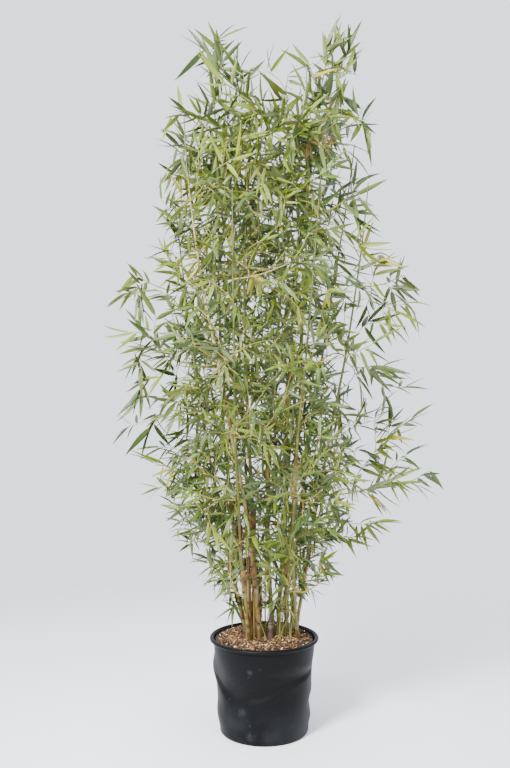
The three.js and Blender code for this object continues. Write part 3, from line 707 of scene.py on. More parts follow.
def grow_mass(index, points, masses):
    """A mass is its stem, and twigs that branch from the stem or from each other to all its points."""
    stem = Limb(curved(*mass_stem(index, masses), TWIG_POINTS))
    limbs = [stem]
    starts, heads = stem.line[FIRST_FORK:], stem.heads()[FIRST_FORK:]
    parents = [stem] * len(starts)
    ways = np.linalg.norm(starts - stem.line[0], axis=1)
    for point in points[np.argsort(np.linalg.norm(points - masses[index].joint, axis=1))]:
        runs = point - starts
        lengths = np.linalg.norm(runs, axis=1)
        turns = 1 - np.sum(unit(runs) * heads, axis=1)
        costs = lengths * (1 + TURN_COST * turns) + WAY_COST * ways
        for best in np.argsort(costs)[:TWIG_WAYS]:
            line = arching(starts[best], heads[best], point)
            if inside_crown(line).all() and (cane_clearance(line[1:]) > TWIG_CLEAR).all():
                twig = Limb(line, parents[best])
                limbs.append(twig)
                forks = line[FIRST_FORK:-1]
                far = np.linalg.norm(forks - starts[best], axis=1) + ways[best]
                starts = np.vstack([starts, forks])
                heads = np.vstack([heads, twig.heads()[FIRST_FORK:-1]])
                parents += [twig] * len(far)
                ways = np.append(ways, far)
                break
    return limbs


@cache
def grown_limbs(spacing, leaf_length):
    """All the stems and twigs of the crown."""
    random = np.random.default_rng(SEED)
    masses = mass_plan()
    points = spray_points(spacing, leaf_length, random)
    middles = np.array([mass.middle for mass in masses])
    nearest = np.argmin(np.sum((points[:, None] - middles) ** 2, axis=2), axis=1)
    return [limb for i in range(len(masses)) for limb in grow_mass(i, points[nearest == i], masses)]


def spray_heading(ends, tangents, random):
    """Sprays look outwards, give or take, and more and more upwards near the crown's top."""
    outwards = unit(ends * (1, 1, 0))
    lift = np.interp(ends[:, 2], *LIFT_BY_HEIGHT)
    share, _ = share_of(CROWN_BODY, ends)
    stray = random.normal(0, 1, ends.shape) * np.interp(share, *STRAY_BY_SHARE)[:, None]
    return unit(ALONG_TWIG * tangents + OUTWARDS * outwards + lift[:, None] * UP + stray)


def leaf_share(ends):
    """Leaves are smallest low down and inside, and largest at the crest and on the outlying boughs."""
    _, across = share_of(CROWN_BODY, ends)
    return np.interp(ends[:, 2], *SIZE_BY_HEIGHT) * np.interp(across, *SIZE_BY_ACROSS)


def leaf_fan(limbs, leaf_length, random):
    """Every spray's leaves: they stand in two ranks along the last of the twig, and droop a little."""
    ends = np.array([limb.line[-1] for limb in limbs])
    tangents = np.array([limb.heads()[-1] for limb in limbs])
    counts = random.choice(LEAVES_OF_SPRAY["counts"], len(limbs), p=LEAVES_OF_SPRAY["shares"])
    _, across = share_of(CROWN_BODY, ends)
    counts = np.minimum(counts + (across > OUTLYING_SHARE), len(FAN_ANGLES))
    vigour = random.uniform(*VIGOURS, len(limbs)) * leaf_share(ends)
    headings = spray_heading(ends, tangents, random)
    flat = unit(UP + random.normal(0, PLANE_STRAY, (len(limbs), 3)))
    planes = unit(flat - headings * np.sum(flat * headings, axis=1, keepdims=True))
    hand = random.choice([-1, 1], len(limbs))

    spray = np.repeat(np.arange(len(limbs)), counts)
    rank = np.concatenate([np.arange(count) for count in counts])
    side = hand[spray] * np.where(rank % 2, 1, -1)
    place = ends[spray] - tangents[spray] * (rank * LEAF_STEP * vigour[spray])[:, None]
    size = FAN_LENGTHS[rank] * vigour[spray] * random.uniform(*LEAF_SIZES, len(spray))
    ahead = np.zeros((len(spray), 3))
    normal = np.zeros((len(spray), 3))
    pending = np.ones(len(spray), bool)
    for attempt in range(LEAF_TRIES):
        many = pending.sum()
        spread_stray, dip_stray = (first + more * attempt for first, more in (FAN_STRAY, DIP_STRAY))
        spread = side[pending] * FAN_ANGLES[rank[pending]] + random.normal(0, spread_stray, many)
        plane = planes[spray[pending]]
        look = turned(headings[spray[pending]], plane, spread)
        dip = random.normal(DIP, dip_stray, many) * np.sqrt(1 - look[:, 2] ** 2)
        look = turned(look, unit(np.cross(look, UP)), -dip)
        over = turned(plane, look, random.normal(0, ROLL_STRAY, many))
        over = unit(over - look * np.sum(over * look, axis=1, keepdims=True))
        size[pending] *= RETRY_SIZE if attempt else 1
        tips = place[pending] + look * (size[pending] * leaf_length)[:, None]
        halfway = place[pending] + look * (0.5 * size[pending] * leaf_length)[:, None]
        fits = inside_crown(tips) & (cane_clearance(tips) > 0) & (cane_clearance(halfway) > 0)
        chosen = np.flatnonzero(pending)[fits]
        ahead[chosen] = look[fits]
        normal[chosen] = over[fits]
        pending[chosen] = False
    grown = ~pending
    return Leaves(place[grown], ahead[grown], normal[grown], size[grown], spray[grown])


# Meshes and node trees


def mesh_object(name, points, faces=(), edges=(), attributes=None):
    """An object at the origin with a mesh of points in metres, and values of its points or faces."""
    mesh = bpy.data.meshes.new(name)
    mesh.from_pydata(np.asarray(points, float).tolist(), edges, faces)
    for key, values in (attributes or {}).items():
        values = np.asarray(values)
        kind = "FLOAT_VECTOR" if values.ndim == 2 else "INT" if values.dtype.kind == "i" else "FLOAT"
        domain = "POINT" if len(values) == len(points) else "FACE"
        data = mesh.attributes.new(key, kind, domain).data
        data.foreach_set("vector" if values.ndim == 2 else "value", values.ravel())
    obj = bpy.data.objects.new(name, mesh)
    bpy.context.scene.collection.objects.link(obj)
    return obj


def finished(obj, slot, *nodes, material=None, smooth=True):
    """Gives a piece its material and shading, and ties it to the frame."""
    if material:
        obj.data.materials.clear()
        obj.data.materials.append(material)
    obj.data.polygons.foreach_set("use_smooth", np.full(len(obj.data.polygons), smooth))
    obj.data.update()
    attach(obj, "root")
    if nodes:
        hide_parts(*nodes)
    return obj


def add_node(tree, kind, inputs=None, **settings):
    """Adds a node. Its settings are set first, then each input is linked or set by name or number."""
    node = tree.nodes.new(kind)
    for name, value in settings.items():
        setattr(node, name, value)
    for key, value in (inputs or {}).items():
        if isinstance(value, bpy.types.Node):
            value = value.outputs[0]
        if isinstance(value, bpy.types.NodeSocket):
            tree.links.new(value, node.inputs[key])
        else:
            node.inputs[key].default_value = value
    return node


def geometry_tree(name, **sockets):
    """A node group that takes and gives geometry, with named inputs of the kinds asked for."""
    tree = bpy.data.node_groups.new(name, "GeometryNodeTree")
    tree.interface.new_socket("Geometry", in_out="INPUT", socket_type="NodeSocketGeometry")
    tree.interface.new_socket("Geometry", in_out="OUTPUT", socket_type="NodeSocketGeometry")
    for label, kind in sockets.items():
        tree.interface.new_socket(label, in_out="INPUT", socket_type="NodeSocket" + kind)
    return tree, add_node(tree, "NodeGroupInput").outputs


def realised(tree, geometry, material):
    """Ends a tree: instances become mesh, and the mesh gets its material."""
    real = add_node(tree, "GeometryNodeRealizeInstances", {"Geometry": geometry})
    painted = add_node(tree, "GeometryNodeSetMaterial", {"Geometry": real, "Material": material})
    add_node(tree, "NodeGroupOutput", {"Geometry": painted})


def keep_result(obj, modifier):
    """Keeps what a modifier makes of an object as the object's plain mesh."""
    graph = bpy.context.evaluated_depsgraph_get()
    mesh = bpy.data.meshes.new_from_object(obj.evaluated_get(graph), depsgraph=graph)
    obj.modifiers.remove(modifier)
    obj.data = mesh


def run_tree(obj, tree, **inputs):
    """Runs a tree on an object and keeps the result as its plain mesh."""
    modifier = obj.modifiers.new(tree.name, "NODES")
    modifier.node_group = tree
    for item in tree.interface.items_tree:
        if item.in_out == "INPUT" and item.name in inputs:
            modifier[item.identifier] = inputs[item.name]
    keep_result(obj, modifier)


@cache
def bar_tree():
    """Round bars that follow lines of edges, with the radius that each point of the line says."""
    tree, given = geometry_tree("round_bars_along_lines", Sides="Int", Material="Material")
    thickness = add_node(tree, "GeometryNodeInputNamedAttribute", {"Name": "thickness"}, data_type="FLOAT")
    ring = add_node(tree, "GeometryNodeCurvePrimitiveCircle", {"Resolution": given["Sides"], "Radius": 1.0})
    line = add_node(tree, "GeometryNodeMeshToCurve", {"Mesh": given["Geometry"]})
    shape = {"Curve": line, "Profile Curve": ring, "Scale": thickness, "Fill Caps": True}
    bar = add_node(tree, "GeometryNodeCurveToMesh", shape)
    realised(tree, bar, given["Material"])
    return tree


def round_bars(name, lines, radii, sides, material, attributes=None):
    """Lines in millimetres made into round bars, with a radius for each point of each line."""
    edges, first = [], 0
    for line in lines:
        edges += [(first + i, first + i + 1) for i in range(len(line) - 1)]
        first += len(line)
    values = {"thickness": np.concatenate(radii) * MM, **(attributes or {})}
    obj = mesh_object(name, np.vstack(lines) * MM, edges=edges, attributes=values)
    run_tree(obj, bar_tree(), Sides=sides, Material=material)
    return obj


def place_shapes(tree, given, points, placing):
    """Ends a tree: one of its shapes stands on each point, placed as asked, and becomes mesh."""
    parts = {"Collection": given["Shapes"], "Separate Children": True, "Reset Children": True}
    shapes = add_node(tree, "GeometryNodeCollectionInfo", parts)
    how = {"Points": points, "Instance": shapes, "Pick Instance": True, **placing}
    realised(tree, add_node(tree, "GeometryNodeInstanceOnPoints", how), given["Material"])


@cache
def sprig_tree():
    """A shape on each point, turned, sized and chosen as the point says."""
    tree, given = geometry_tree("shapes_on_points", Shapes="Collection", Material="Material")
    told = {}
    for name, kind in {"turn": "FLOAT_VECTOR", "size": "FLOAT_VECTOR", "shape": "INT"}.items():
        told[name] = add_node(tree, "GeometryNodeInputNamedAttribute", {"Name": name}, data_type=kind)
    spin = add_node(tree, "FunctionNodeEulerToRotation", {"Euler": told["turn"]})
    placing = {"Instance Index": told["shape"], "Rotation": spin, "Scale": told["size"]}
    place_shapes(tree, given, given["Geometry"], placing)
    return tree


@cache
def litter_tree():
    """Chips strewn over a surface: they lie nearly flat on it, turned and sized at random."""
    sockets = {"Shapes": "Collection", "Spacing": "Float", "Seed": "Int", "Tilt": "Float"}
    tree, given = geometry_tree("chips_on_a_surface", **sockets, Material="Material")
    surface = {"Mesh": given["Geometry"], "Distance Min": given["Spacing"]}
    strewn = add_node(
        tree,
        "GeometryNodeDistributePointsOnFaces",
        {**surface, "Density Max": CHIP_DENSITY, "Seed": given["Seed"]},
        distribute_method="POISSON",
    )
    less = add_node(tree, "ShaderNodeMath", {0: given["Tilt"], 1: -1.0}, operation="MULTIPLY")
    lowest = add_node(tree, "ShaderNodeCombineXYZ", {0: less, 1: less, 2: -math.pi})
    highest = add_node(tree, "ShaderNodeCombineXYZ", {0: given["Tilt"], 1: given["Tilt"], 2: math.pi})
    turns = {0: lowest, 1: highest, "Seed": given["Seed"]}
    turn = add_node(tree, "FunctionNodeRandomValue", turns, data_type="FLOAT_VECTOR")
    spin = add_node(tree, "FunctionNodeEulerToRotation", {"Euler": turn})
    sizes = {2: CHIP_SMALLEST, 3: CHIP_LARGEST, "Seed": given["Seed"]}
    size = add_node(tree, "FunctionNodeRandomValue", sizes, data_type="FLOAT").outputs[1]
    place_shapes(tree, given, strewn.outputs["Points"], {"Rotation": spin, "Scale": size})
    return tree


# Materials


def new_material(name):
    """An empty material, its node tree and its object coordinates."""
    material = bpy.data.materials.new(name)
    material.use_nodes = True
    tree = material.node_tree
    tree.nodes.clear()
    return material, tree, add_node(tree, "ShaderNodeTexCoord").outputs["Object"]


def surfaced(tree, colour, roughness, relief, depth, specular=0.5):
    """Ends a material: its shader has the relief of a height from 0 to 1, as deep as asked in metres."""
    bump = add_node(tree, "ShaderNodeBump", {"Height": relief, "Distance": depth})
    shader = add_node(
        tree,
        "ShaderNodeBsdfPrincipled",
        {"Base Color": colour, "Roughness": roughness, "Specular IOR Level": specular, "Normal": bump},
    )
    add_node(tree, "ShaderNodeOutputMaterial", {"Surface": shader})


def layered(tree, colour, layers):
    """A colour with others laid over it in turn. Each has its share, as a socket, and its colour."""
    for share, over in layers:
        mix = add_node(tree, "ShaderNodeMix", {0: share, 6: colour, 7: over}, data_type="RGBA")
        colour = mix.outputs[2]
    return colour


def mottle(tree, place, size, low=0.35, high=0.65, detail=4.0, stretch=(1, 1, 1), most=1.0):
    """Soft patches of about a size in metres, from 0 to the most. A stretch of under 1 makes them longer."""
    mapped = add_node(tree, "ShaderNodeMapping", {"Vector": place, "Scale": stretch})
    noise = add_node(tree, "ShaderNodeTexNoise", {"Vector": mapped, "Scale": 1 / size, "Detail": detail})
    limits = {"Value": noise, "From Min": low, "From Max": high, "To Max": most}
    return add_node(tree, "ShaderNodeMapRange", limits).outputs[0]


FALLING = {"To Min": 1.0, "To Max": 0.0}  # of a map range: from 1 down to 0
# Spots of painted sheen on the front left of the wall, lighter patches in the dust colour that stand in for
# the plastic's highlight: across, back, up and radius, in metres
PAINTED_SHEEN_SPOTS = [
    (-0.034, -0.113, 0.172, 0.009),
    (-0.053, -0.097, 0.074, 0.015),
    (-0.031, -0.101, 0.022, 0.016),
]


def polypropylene(settings):
    """Blow-moulded polypropylene: an even charcoal with a broad soft sheen, dust low down, and painted
    sheen: lighter spots in the dust colour on the front left of the wall.
    """
    material, tree, place = new_material("moulded_polypropylene")
    height = add_node(tree, "ShaderNodeSeparateXYZ", {0: place}).outputs[2]
    clouds = mottle(tree, place, 0.07, 0.42, 0.72, 3, most=0.22)
    low_down = add_node(tree, "ShaderNodeMapRange", {"Value": height, "From Max": 0.09, **FALLING})
    film = add_node(tree, "ShaderNodeMath", {0: clouds, 1: low_down}, operation="MULTIPLY")
    specks = mottle(tree, place, 0.011, 0.66, 0.78, 6, most=0.25)
    dust_and_painted_sheen_share = add_node(tree, "ShaderNodeMath", {0: film, 1: specks}, operation="MAXIMUM")
    sheen_mottle = mottle(tree, place, 0.009, 0.25, 0.75, 5, most=0.34)
    # Painted sheen: lighter mottled spots of the dust colour on the front left of the wall, where a
    # highlight falls
    for *middle, radius in PAINTED_SHEEN_SPOTS:
        away = add_node(tree, "ShaderNodeVectorMath", {0: place, 1: middle}, operation="DISTANCE")
        limits = {"Value": away.outputs["Value"], "From Max": radius, **FALLING}
        spot = add_node(tree, "ShaderNodeMapRange", limits)
        spot = add_node(tree, "ShaderNodeMath", {0: spot, 1: sheen_mottle}, operation="MULTIPLY")
        dust_and_painted_sheen_share = add_node(tree, "ShaderNodeMath", {0: dust_and_painted_sheen_share, 1: spot}, operation="MAXIMUM")
    colour = layered(tree, settings.plastic, [(dust_and_painted_sheen_share, settings.dust_and_painted_sheen)])
    rough = add_node(tree, "ShaderNodeMapRange", {"Value": dust_and_painted_sheen_share, "To Min": 0.46, "To Max": 0.8})
    # Moulded plastic of this kind has an orange-peel skin of about 2 mm waves.
    surfaced(tree, colour, rough, mottle(tree, place, 0.002, 0, 1, 2), 0.00005, specular=0.1)
    return material


def humus(settings):
    """Moist potting soil: dark crumbs of about 3 mm."""
    material, tree, place = new_material("potting_humus")
    crumbs = mottle(tree, place, 0.003, 0.3, 0.7, 6)
    pale = [*(2.2 * channel for channel in settings.humus[:3]), 1]  # dry crumbs
    surfaced(tree, layered(tree, settings.humus, [(crumbs, pale)]), 0.95, crumbs, 0.002)
    return material


def chip_wood(name, pale, dark):
    """Shredded bark or wood: short grain lines of about 1 mm and darker patches, dull all over."""
    material, tree, place = new_material(name)
    grain = mottle(tree, place, 0.0016, 0.3, 0.7, 5)
    patch = mottle(tree, place, 0.012, 0.3, 0.7, 2)
    both = add_node(tree, "ShaderNodeMath", {0: grain, 1: patch}, operation="MULTIPLY")
    surfaced(tree, layered(tree, linear(pale), [(both, linear(dark))]), 0.88, grain, 0.0006)
    return material


def culm_skin(name, foot, top, tan, tip):
    """A cane's waxy skin: satin, greener upwards and towards its tip, with a brown scar at each joint,
    a pale bloom under it, tan streaks that run with the grain, and soil splashed on its foot."""
    material, tree, place = new_material(name)
    from_joint = add_node(tree, "ShaderNodeAttribute", attribute_name="from_joint").outputs["Fac"]
    height = add_node(tree, "ShaderNodeSeparateXYZ", {0: place}).outputs[2]
    streaks = mottle(tree, place, 0.004, 0.38, 0.7, 4, stretch=(1, 1, 0.06))
    rising = add_node(tree, "ShaderNodeMapRange", {"Value": height, "From Min": 0.35, "From Max": 0.9})
    last = add_node(tree, "ShaderNodeMapRange", {"Value": height, "From Min": 1.0, "From Max": 1.3})
    low = add_node(tree, "ShaderNodeMath", {0: 1.0, 1: rising}, operation="SUBTRACT")
    low_streaks = add_node(tree, "ShaderNodeMath", {0: streaks, 1: low}, operation="MULTIPLY")
    layers = [(rising, top), (last, tip), (low_streaks, tan)]
    scar = add_node(tree, "ShaderNodeMath", {0: from_joint}, operation="ABSOLUTE")
    bloom = add_node(tree, "ShaderNodeMath", {0: from_joint, 1: 0.007}, operation="ADD")
    bloom = add_node(tree, "ShaderNodeMath", {0: bloom}, operation="ABSOLUTE")
    # What fades away from somewhere: how far it is full, where it ends, its share and its colour
    fading = [
        (height, 0.225, 0.29, 0.75, "#3a2a18"),
        (bloom, 0.001, 0.007, 0.2, "#a9aa7c"),
        (scar, 0.0002, 0.0018, 0.7, "#66532a"),
    ]
    for value, full, ends, share, over in fading:
        limits = {"Value": value, "From Min": full, "From Max": ends, "To Min": share, "To Max": 0.0}
        layers.append((add_node(tree, "ShaderNodeMapRange", limits).outputs[0], linear(over)))
    surfaced(tree, layered(tree, foot, layers), 0.42, streaks, 0.00012)
    return material


def sheath_paper(name, base, fibre, spot):
    """A culm sheath: papery, with fibres that run upwards, blotches and a dark foot."""
    material, tree, place = new_material(name)
    along = add_node(tree, "ShaderNodeAttribute", attribute_name="along").outputs["Fac"]
    fibres = mottle(tree, place, 0.0022, 0.3, 0.7, 3, stretch=(1, 1, 0.05))
    blotch = mottle(tree, place, 0.02, 0.42, 0.62, 3)
    foot = add_node(tree, "ShaderNodeMapRange", {"Value": along, "From Max": 0.14, **FALLING})
    layers = [(fibres, linear(fibre)), (blotch, linear(spot)), (foot, linear("#4a2c1a"))]
    surfaced(tree, layered(tree, base, layers), 0.7, fibres, 0.0003)
    return material


def twig_rind(name, base, patches):
    """Twig rind: thin and smooth, with stretches of another colour."""
    material, tree, place = new_material(name)
    patch = mottle(tree, place, 0.03, 0.35, 0.65, 2)
    surfaced(tree, layered(tree, base, [(patch, linear(patches))]), 0.55, patch, 0.0001)
    return material


def leaf_blade(name, top, under):
    """A living blade: satin green above, paler and greyer below, with fine veins along it."""
    material, tree, place = new_material(name)
    below = add_node(tree, "ShaderNodeAttribute", attribute_name="underside").outputs["Fac"]
    shade = mottle(tree, place, 0.05, 0.3, 0.7, 2, most=0.24)
    colour = layered(tree, linear(top), [(shade, linear("#10180a")), (below, linear(under))])
    across = add_node(tree, "ShaderNodeUVMap", uv_map="UVMap")
    # The veins of a real blade are 0.5 mm apart. Ten to a blade are drawn, so that they can be seen.
    lines = {"Vector": across, "Scale": 3.2, "Distortion": 0.0}
    veins = add_node(tree, "ShaderNodeTexWave", lines, wave_type="BANDS", bands_direction="X")
    surfaced(tree, colour, 0.4, veins.outputs["Fac"], 0.0001, specular=0.42)
    return material


# Pot and soil


def dent_depth(turns, heights):
    """How far the wall is pushed in: smooth, and nothing at a dent's edge."""
    depth = np.zeros(np.broadcast(turns, heights).shape)
    for dent in DENTS:
        away = (turns - dent.turn + 180) % 360 - 180
        rise = heights - dent.height - dent.slant * away
        round_share = np.clip(np.abs(away / dent.half_turn), 0, 1)
        rise_share = np.clip(np.abs(rise / dent.half_height), 0, 1)
        depth += dent.depth * (np.cos(round_share * math.pi / 2) * np.cos(rise_share * math.pi / 2)) ** 2
    return depth


def eased(share):
    """A share from 0 to 1 that sets out and arrives smoothly."""
    return share**2 * (3 - 2 * share)


def fold_depth(turns, heights):
    """How far the folds push the wall in. They run out at both of their ends."""
    depth = np.zeros(np.broadcast(turns, heights).shape)
    for fold in FOLDS:
        around = np.where(turns > fold.turns[-1], turns - 360, turns)
        lower = np.interp(around, fold.turns, fold.lower)
        upper = np.interp(around, fold.turns, fold.upper)
        share = (heights - lower) / (upper - lower)
        run_in = np.clip((share + FOLD_EDGE) / (2 * FOLD_EDGE), 0, 1)
        run_out = np.cos(np.clip((share - FOLD_EDGE) / (1 - FOLD_EDGE), 0, 1) * math.pi / 2) ** 2
        ends = np.minimum(around - fold.turns[0], fold.turns[-1] - around) / FOLD_RUN_OUT
        depth += fold.depth * eased(run_in) * run_out * eased(np.clip(ends, 0, 1))
    return depth


def wall_radius(height):
    """The outside of the pot's wall where it has no dent."""
    return WALL_FOOT_RADIUS + (WALL_TOP_RADIUS - WALL_FOOT_RADIUS) * height / (POT_HEIGHT - RIM_ROLL)


def turned_skin(profile, sides):
    """Points and faces of a profile of radii and heights, turned round the upright axis. A radius of
    0 closes it at a single point."""
    angles = np.arange(sides) * 2 * math.pi / sides
    points, rings = [], []
    for radius, height in profile:
        count = 1 if radius == 0 else sides
        rings.append(range(len(points), len(points) + count))
        points += [(radius * math.cos(a), radius * math.sin(a), height) for a in angles[:count]]
    faces = []
    for low, high in zip(rings, rings[1:]):
        for i in range(sides):
            corners = [low[i % len(low)], low[(i + 1) % sides % len(low)]]
            corners += [high[(i + 1) % sides % len(high)], high[i % len(high)]]
            faces.append(list(dict.fromkeys(corners)))
    return np.array(points, float), faces


def dented(points, least_radius):
    """Presses the dents and folds into the points that are outside a radius."""
    radius = np.hypot(points[:, 0], points[:, 1])
    turns = np.degrees(np.arctan2(points[:, 1], points[:, 0]))
    depth = dent_depth(turns, points[:, 2]) + fold_depth(turns, points[:, 2])
    depth = np.where(radius < least_radius, 0, depth)
    points[:, :2] *= (1 - depth / np.maximum(radius, 1))[:, None]
    return points


def rounded(centre, radii, start, end, count):
    """A stretch of a profile along an ellipse, from one angle to another."""
    angles = np.radians(np.linspace(start, end, count))
    return [(centre[0] + radii[0] * math.cos(a), centre[1] + radii[1] * math.sin(a)) for a in angles]


WALL_ROWS = 80
FOOT_RING = 14  # how wide the pot's foot stands on the floor, round its hollow


def make_pot(settings):
    """The pot: a thin dented wall with a rolled rim, a rounded foot and a slightly hollow underside."""
    rim_foot = POT_HEIGHT - RIM_ROLL
    heights = np.linspace(FOOT_CHAMFER, rim_foot - 3, WALL_ROWS)
    foot = WALL_FOOT_RADIUS - FOOT_CHAMFER
    hollow = foot - FOOT_RING
    profile = [(0, FOOT_RECESS), (hollow, FOOT_RECESS), (hollow + 2, 0)]
    profile += rounded((foot, FOOT_CHAMFER), (FOOT_CHAMFER, FOOT_CHAMFER), -90, -8, 6)
    profile += [(wall_radius(height), height) for height in heights]
    neck = WALL_TOP_RADIUS - 0.6
    lip = RIM_RADIUS - neck
    roll = (neck + 0.5 * lip, POT_HEIGHT - RIM_ROLL / 2)
    profile += [(neck, rim_foot - 1.5), (neck + 0.35 * lip, rim_foot - 0.6)]
    profile += rounded(roll, (0.5 * lip, RIM_ROLL / 2), -70, 150, 15)
    profile += [(WALL_TOP_RADIUS - WALL, rim_foot)]
    profile += [(wall_radius(height) - WALL, height) for height in heights[::-1]]
    profile += [(foot - WALL, FLOOR), (0, FLOOR)]
    points, faces = turned_skin(profile, settings.sides)
    points = dented(points, foot - WALL)
    pot = mesh_object("pot_shell", points * MM, faces)
    return finished(pot, "pot", "pot", material=polypropylene(settings))


def soil_height(x, y):
    """The soil's top: a low mound with crumbs, in millimetres."""
    radius = np.hypot(x, y)
    edge = wall_radius(SOIL_LEVEL - SOIL_EDGE_DROP) - WALL - SOIL_CLEAR
    fall = SOIL_VISIBLE_DROP * np.clip((radius - SOIL_FLAT_RADIUS) / (edge - SOIL_FLAT_RADIUS), 0, 1)
    crumbs = np.sin(0.31 * x + 1.3 * np.sin(0.17 * y)) * np.cos(0.27 * y - 0.9 * np.sin(0.13 * x))
    across, back = (x - MOUND_MIDDLE[0]) / MOUND_REACH, (y - MOUND_MIDDLE[1]) / MOUND_REACH
    mound = MOUND_HEIGHT * np.exp(-(across**2) - back**2)
    level = SOIL_LEVEL - SOIL_SKIN - SOIL_EDGE_DROP * fall
    return level + CRUMB_HEIGHT * crumbs * (1 - fall) + mound


SOIL_RINGS = 40
SOIL_SIDES = 120


def make_soil(settings):
    """The filling of the pot, up to the crumbly top that the chips lie on."""
    clear = WALL + SOIL_CLEAR
    foot = WALL_FOOT_RADIUS - FOOT_CHAMFER - clear - SOIL_CLEAR
    edge = SOIL_LEVEL - SOIL_EDGE_DROP
    profile = [(0, FLOOR + GAP), (foot, FLOOR + GAP), (wall_radius(8) - clear, 8)]
    profile += [(wall_radius(height) - clear, height) for height in np.linspace(30, edge - 8, 16)]
    rim = wall_radius(edge) - clear
    profile += [(radius, edge) for radius in np.linspace(rim, 4, SOIL_RINGS)] + [(0, edge)]
    points, faces = turned_skin(profile, SOIL_SIDES)
    points = dented(points, foot)
    top = points[:, 2] > edge - 1
    points[top, 2] = soil_height(points[top, 0], points[top, 1])
    soil = mesh_object("soil_filling", points * MM, faces)
    return finished(soil, "soil", "soil", material=humus(settings))


# Kinds of chip: sizes in millimetres, spacing over the setting's, and the most they tilt, in radians
Chip = namedtuple("Chip", "name pale dark length width thickness spacing seed tilt")
CHIPS = [
    Chip("chips_of_pale_wood", "#e2c594", "#a07c49", 14, 4.4, 1.4, 2.3, 3, 0.75),
    Chip("chips_of_tan_bark", "#866039", "#442c16", 27, 4, 1.8, 1.35, 5, 0.6),
    Chip("chips_of_dark_bark", "#3a2413", "#140b05", 20, 6.5, 2, 1.15, 8, 0.8),
    Chip("bits_of_straw", "#cba970", "#856638", 46, 2, 1.3, 1.6, 13, 0.35),
    Chip("root_fibres", "#6c4e2d", "#26180b", 46, 1.8, 1.2, 1.25, 21, 0.4),
    Chip("crumbs_of_bark", "#5f432a", "#22140a", 9, 3.4, 1.7, 1.1, 34, 0.9),
]
CHIP_SHAPES = 5
CHIP_REACH = 1.08
CHIP_SMALLEST = 0.5
CHIP_LARGEST = 1.15
CHIP_DENSITY = 60000.0  # chips offered to a square metre, before their spacing thins them
CHIP_LIFT = 0.6  # how far over the soil the bed of chips lies
CHIP_CORNERS = 6
BED_RINGS = 30
BED_SIDES = 96


def chip_shape(chip, random):
    """A torn flat flake with six corners above and six below."""
    count = CHIP_CORNERS
    turns = np.radians(np.arange(count) * 360 / count + random.uniform(-14, 14, count))
    reach = random.uniform(0.72, CHIP_REACH, (count, 1))
    ring = np.column_stack([np.cos(turns) * chip.length / 2, np.sin(turns) * chip.width / 2]) * reach
    lift = random.uniform(-0.25, 0.25, (count, 1)) * chip.thickness
    under = np.hstack([ring * 0.86, lift - 0.1 * chip.thickness])
    over = np.hstack([ring, lift + chip.thickness * 0.9])
    faces = [list(range(count - 1, -1, -1)), list(range(count, 2 * count))]
    faces += [[i, (i + 1) % count, count + (i + 1) % count, count + i] for i in range(count)]
    return mesh_object(chip.name + "_shape", np.vstack([under, over]) * MM, faces)


def as_collection(name, objects):
    """Moves objects out of the scene into a collection of their own."""
    collection = bpy.data.collections.new(name)
    for obj in objects:
        collection.objects.link(obj)
        bpy.context.scene.collection.objects.unlink(obj)
    return collection


def discard(collection):
    """Removes a collection of shapes once their copies are made."""
    for obj in list(collection.objects):
        bpy.data.objects.remove(obj)
    bpy.data.collections.remove(collection)


def make_chips(settings):
    """Shredded bark, pale wood and straw, strewn over the soil in one layer of each kind."""
    random = np.random.default_rng(SEED)
    wall = wall_radius(SOIL_LEVEL - SOIL_EDGE_DROP) - WALL
    for chip in CHIPS:
        rim = wall - 0.5 * CHIP_REACH * CHIP_LARGEST * chip.length
        profile = [(0, 0)] + [(radius, 0) for radius in np.linspace(4, rim, BED_RINGS)]
        points, faces = turned_skin(profile, BED_SIDES)
        points[:, 2] = soil_height(points[:, 0], points[:, 1]) + CHIP_LIFT
        shapes = as_collection(chip.name, [chip_shape(chip, random) for _ in range(CHIP_SHAPES)])
        bed = mesh_object(chip.name, points * MM, [face[::-1] for face in faces])
        strewn = {"Spacing": settings.chip_spacing * chip.spacing, "Seed": chip.seed, "Tilt": chip.tilt}
        wood = chip_wood(chip.name + "_wood", chip.pale, chip.dark)
        run_tree(bed, litter_tree(), Shapes=shapes, **strewn, Material=wood)
        discard(shapes)
        finished(bed, "soil", smooth=False)


# Canes and sheaths

# A joint's profile: height over the scar in millimetres, and radius over the cane's
JOINT_PROFILE = [
    (-14, 1.0),
    (-5, 1.01),
    (-2, 1.04),
    (-0.7, 1.13),
    (0, 1.18),
    (0.7, 1.13),
    (1.6, 1.05),
    (3.4, 1.1),
    (5.2, 1.08),
    (8, 1.0),
    (15, 0.97),
]
FILL_STEP = 34  # between a cane's rings where it has no joint
ZIGZAG_RISE = 60  # the height over the soil by which the sidesteps are full


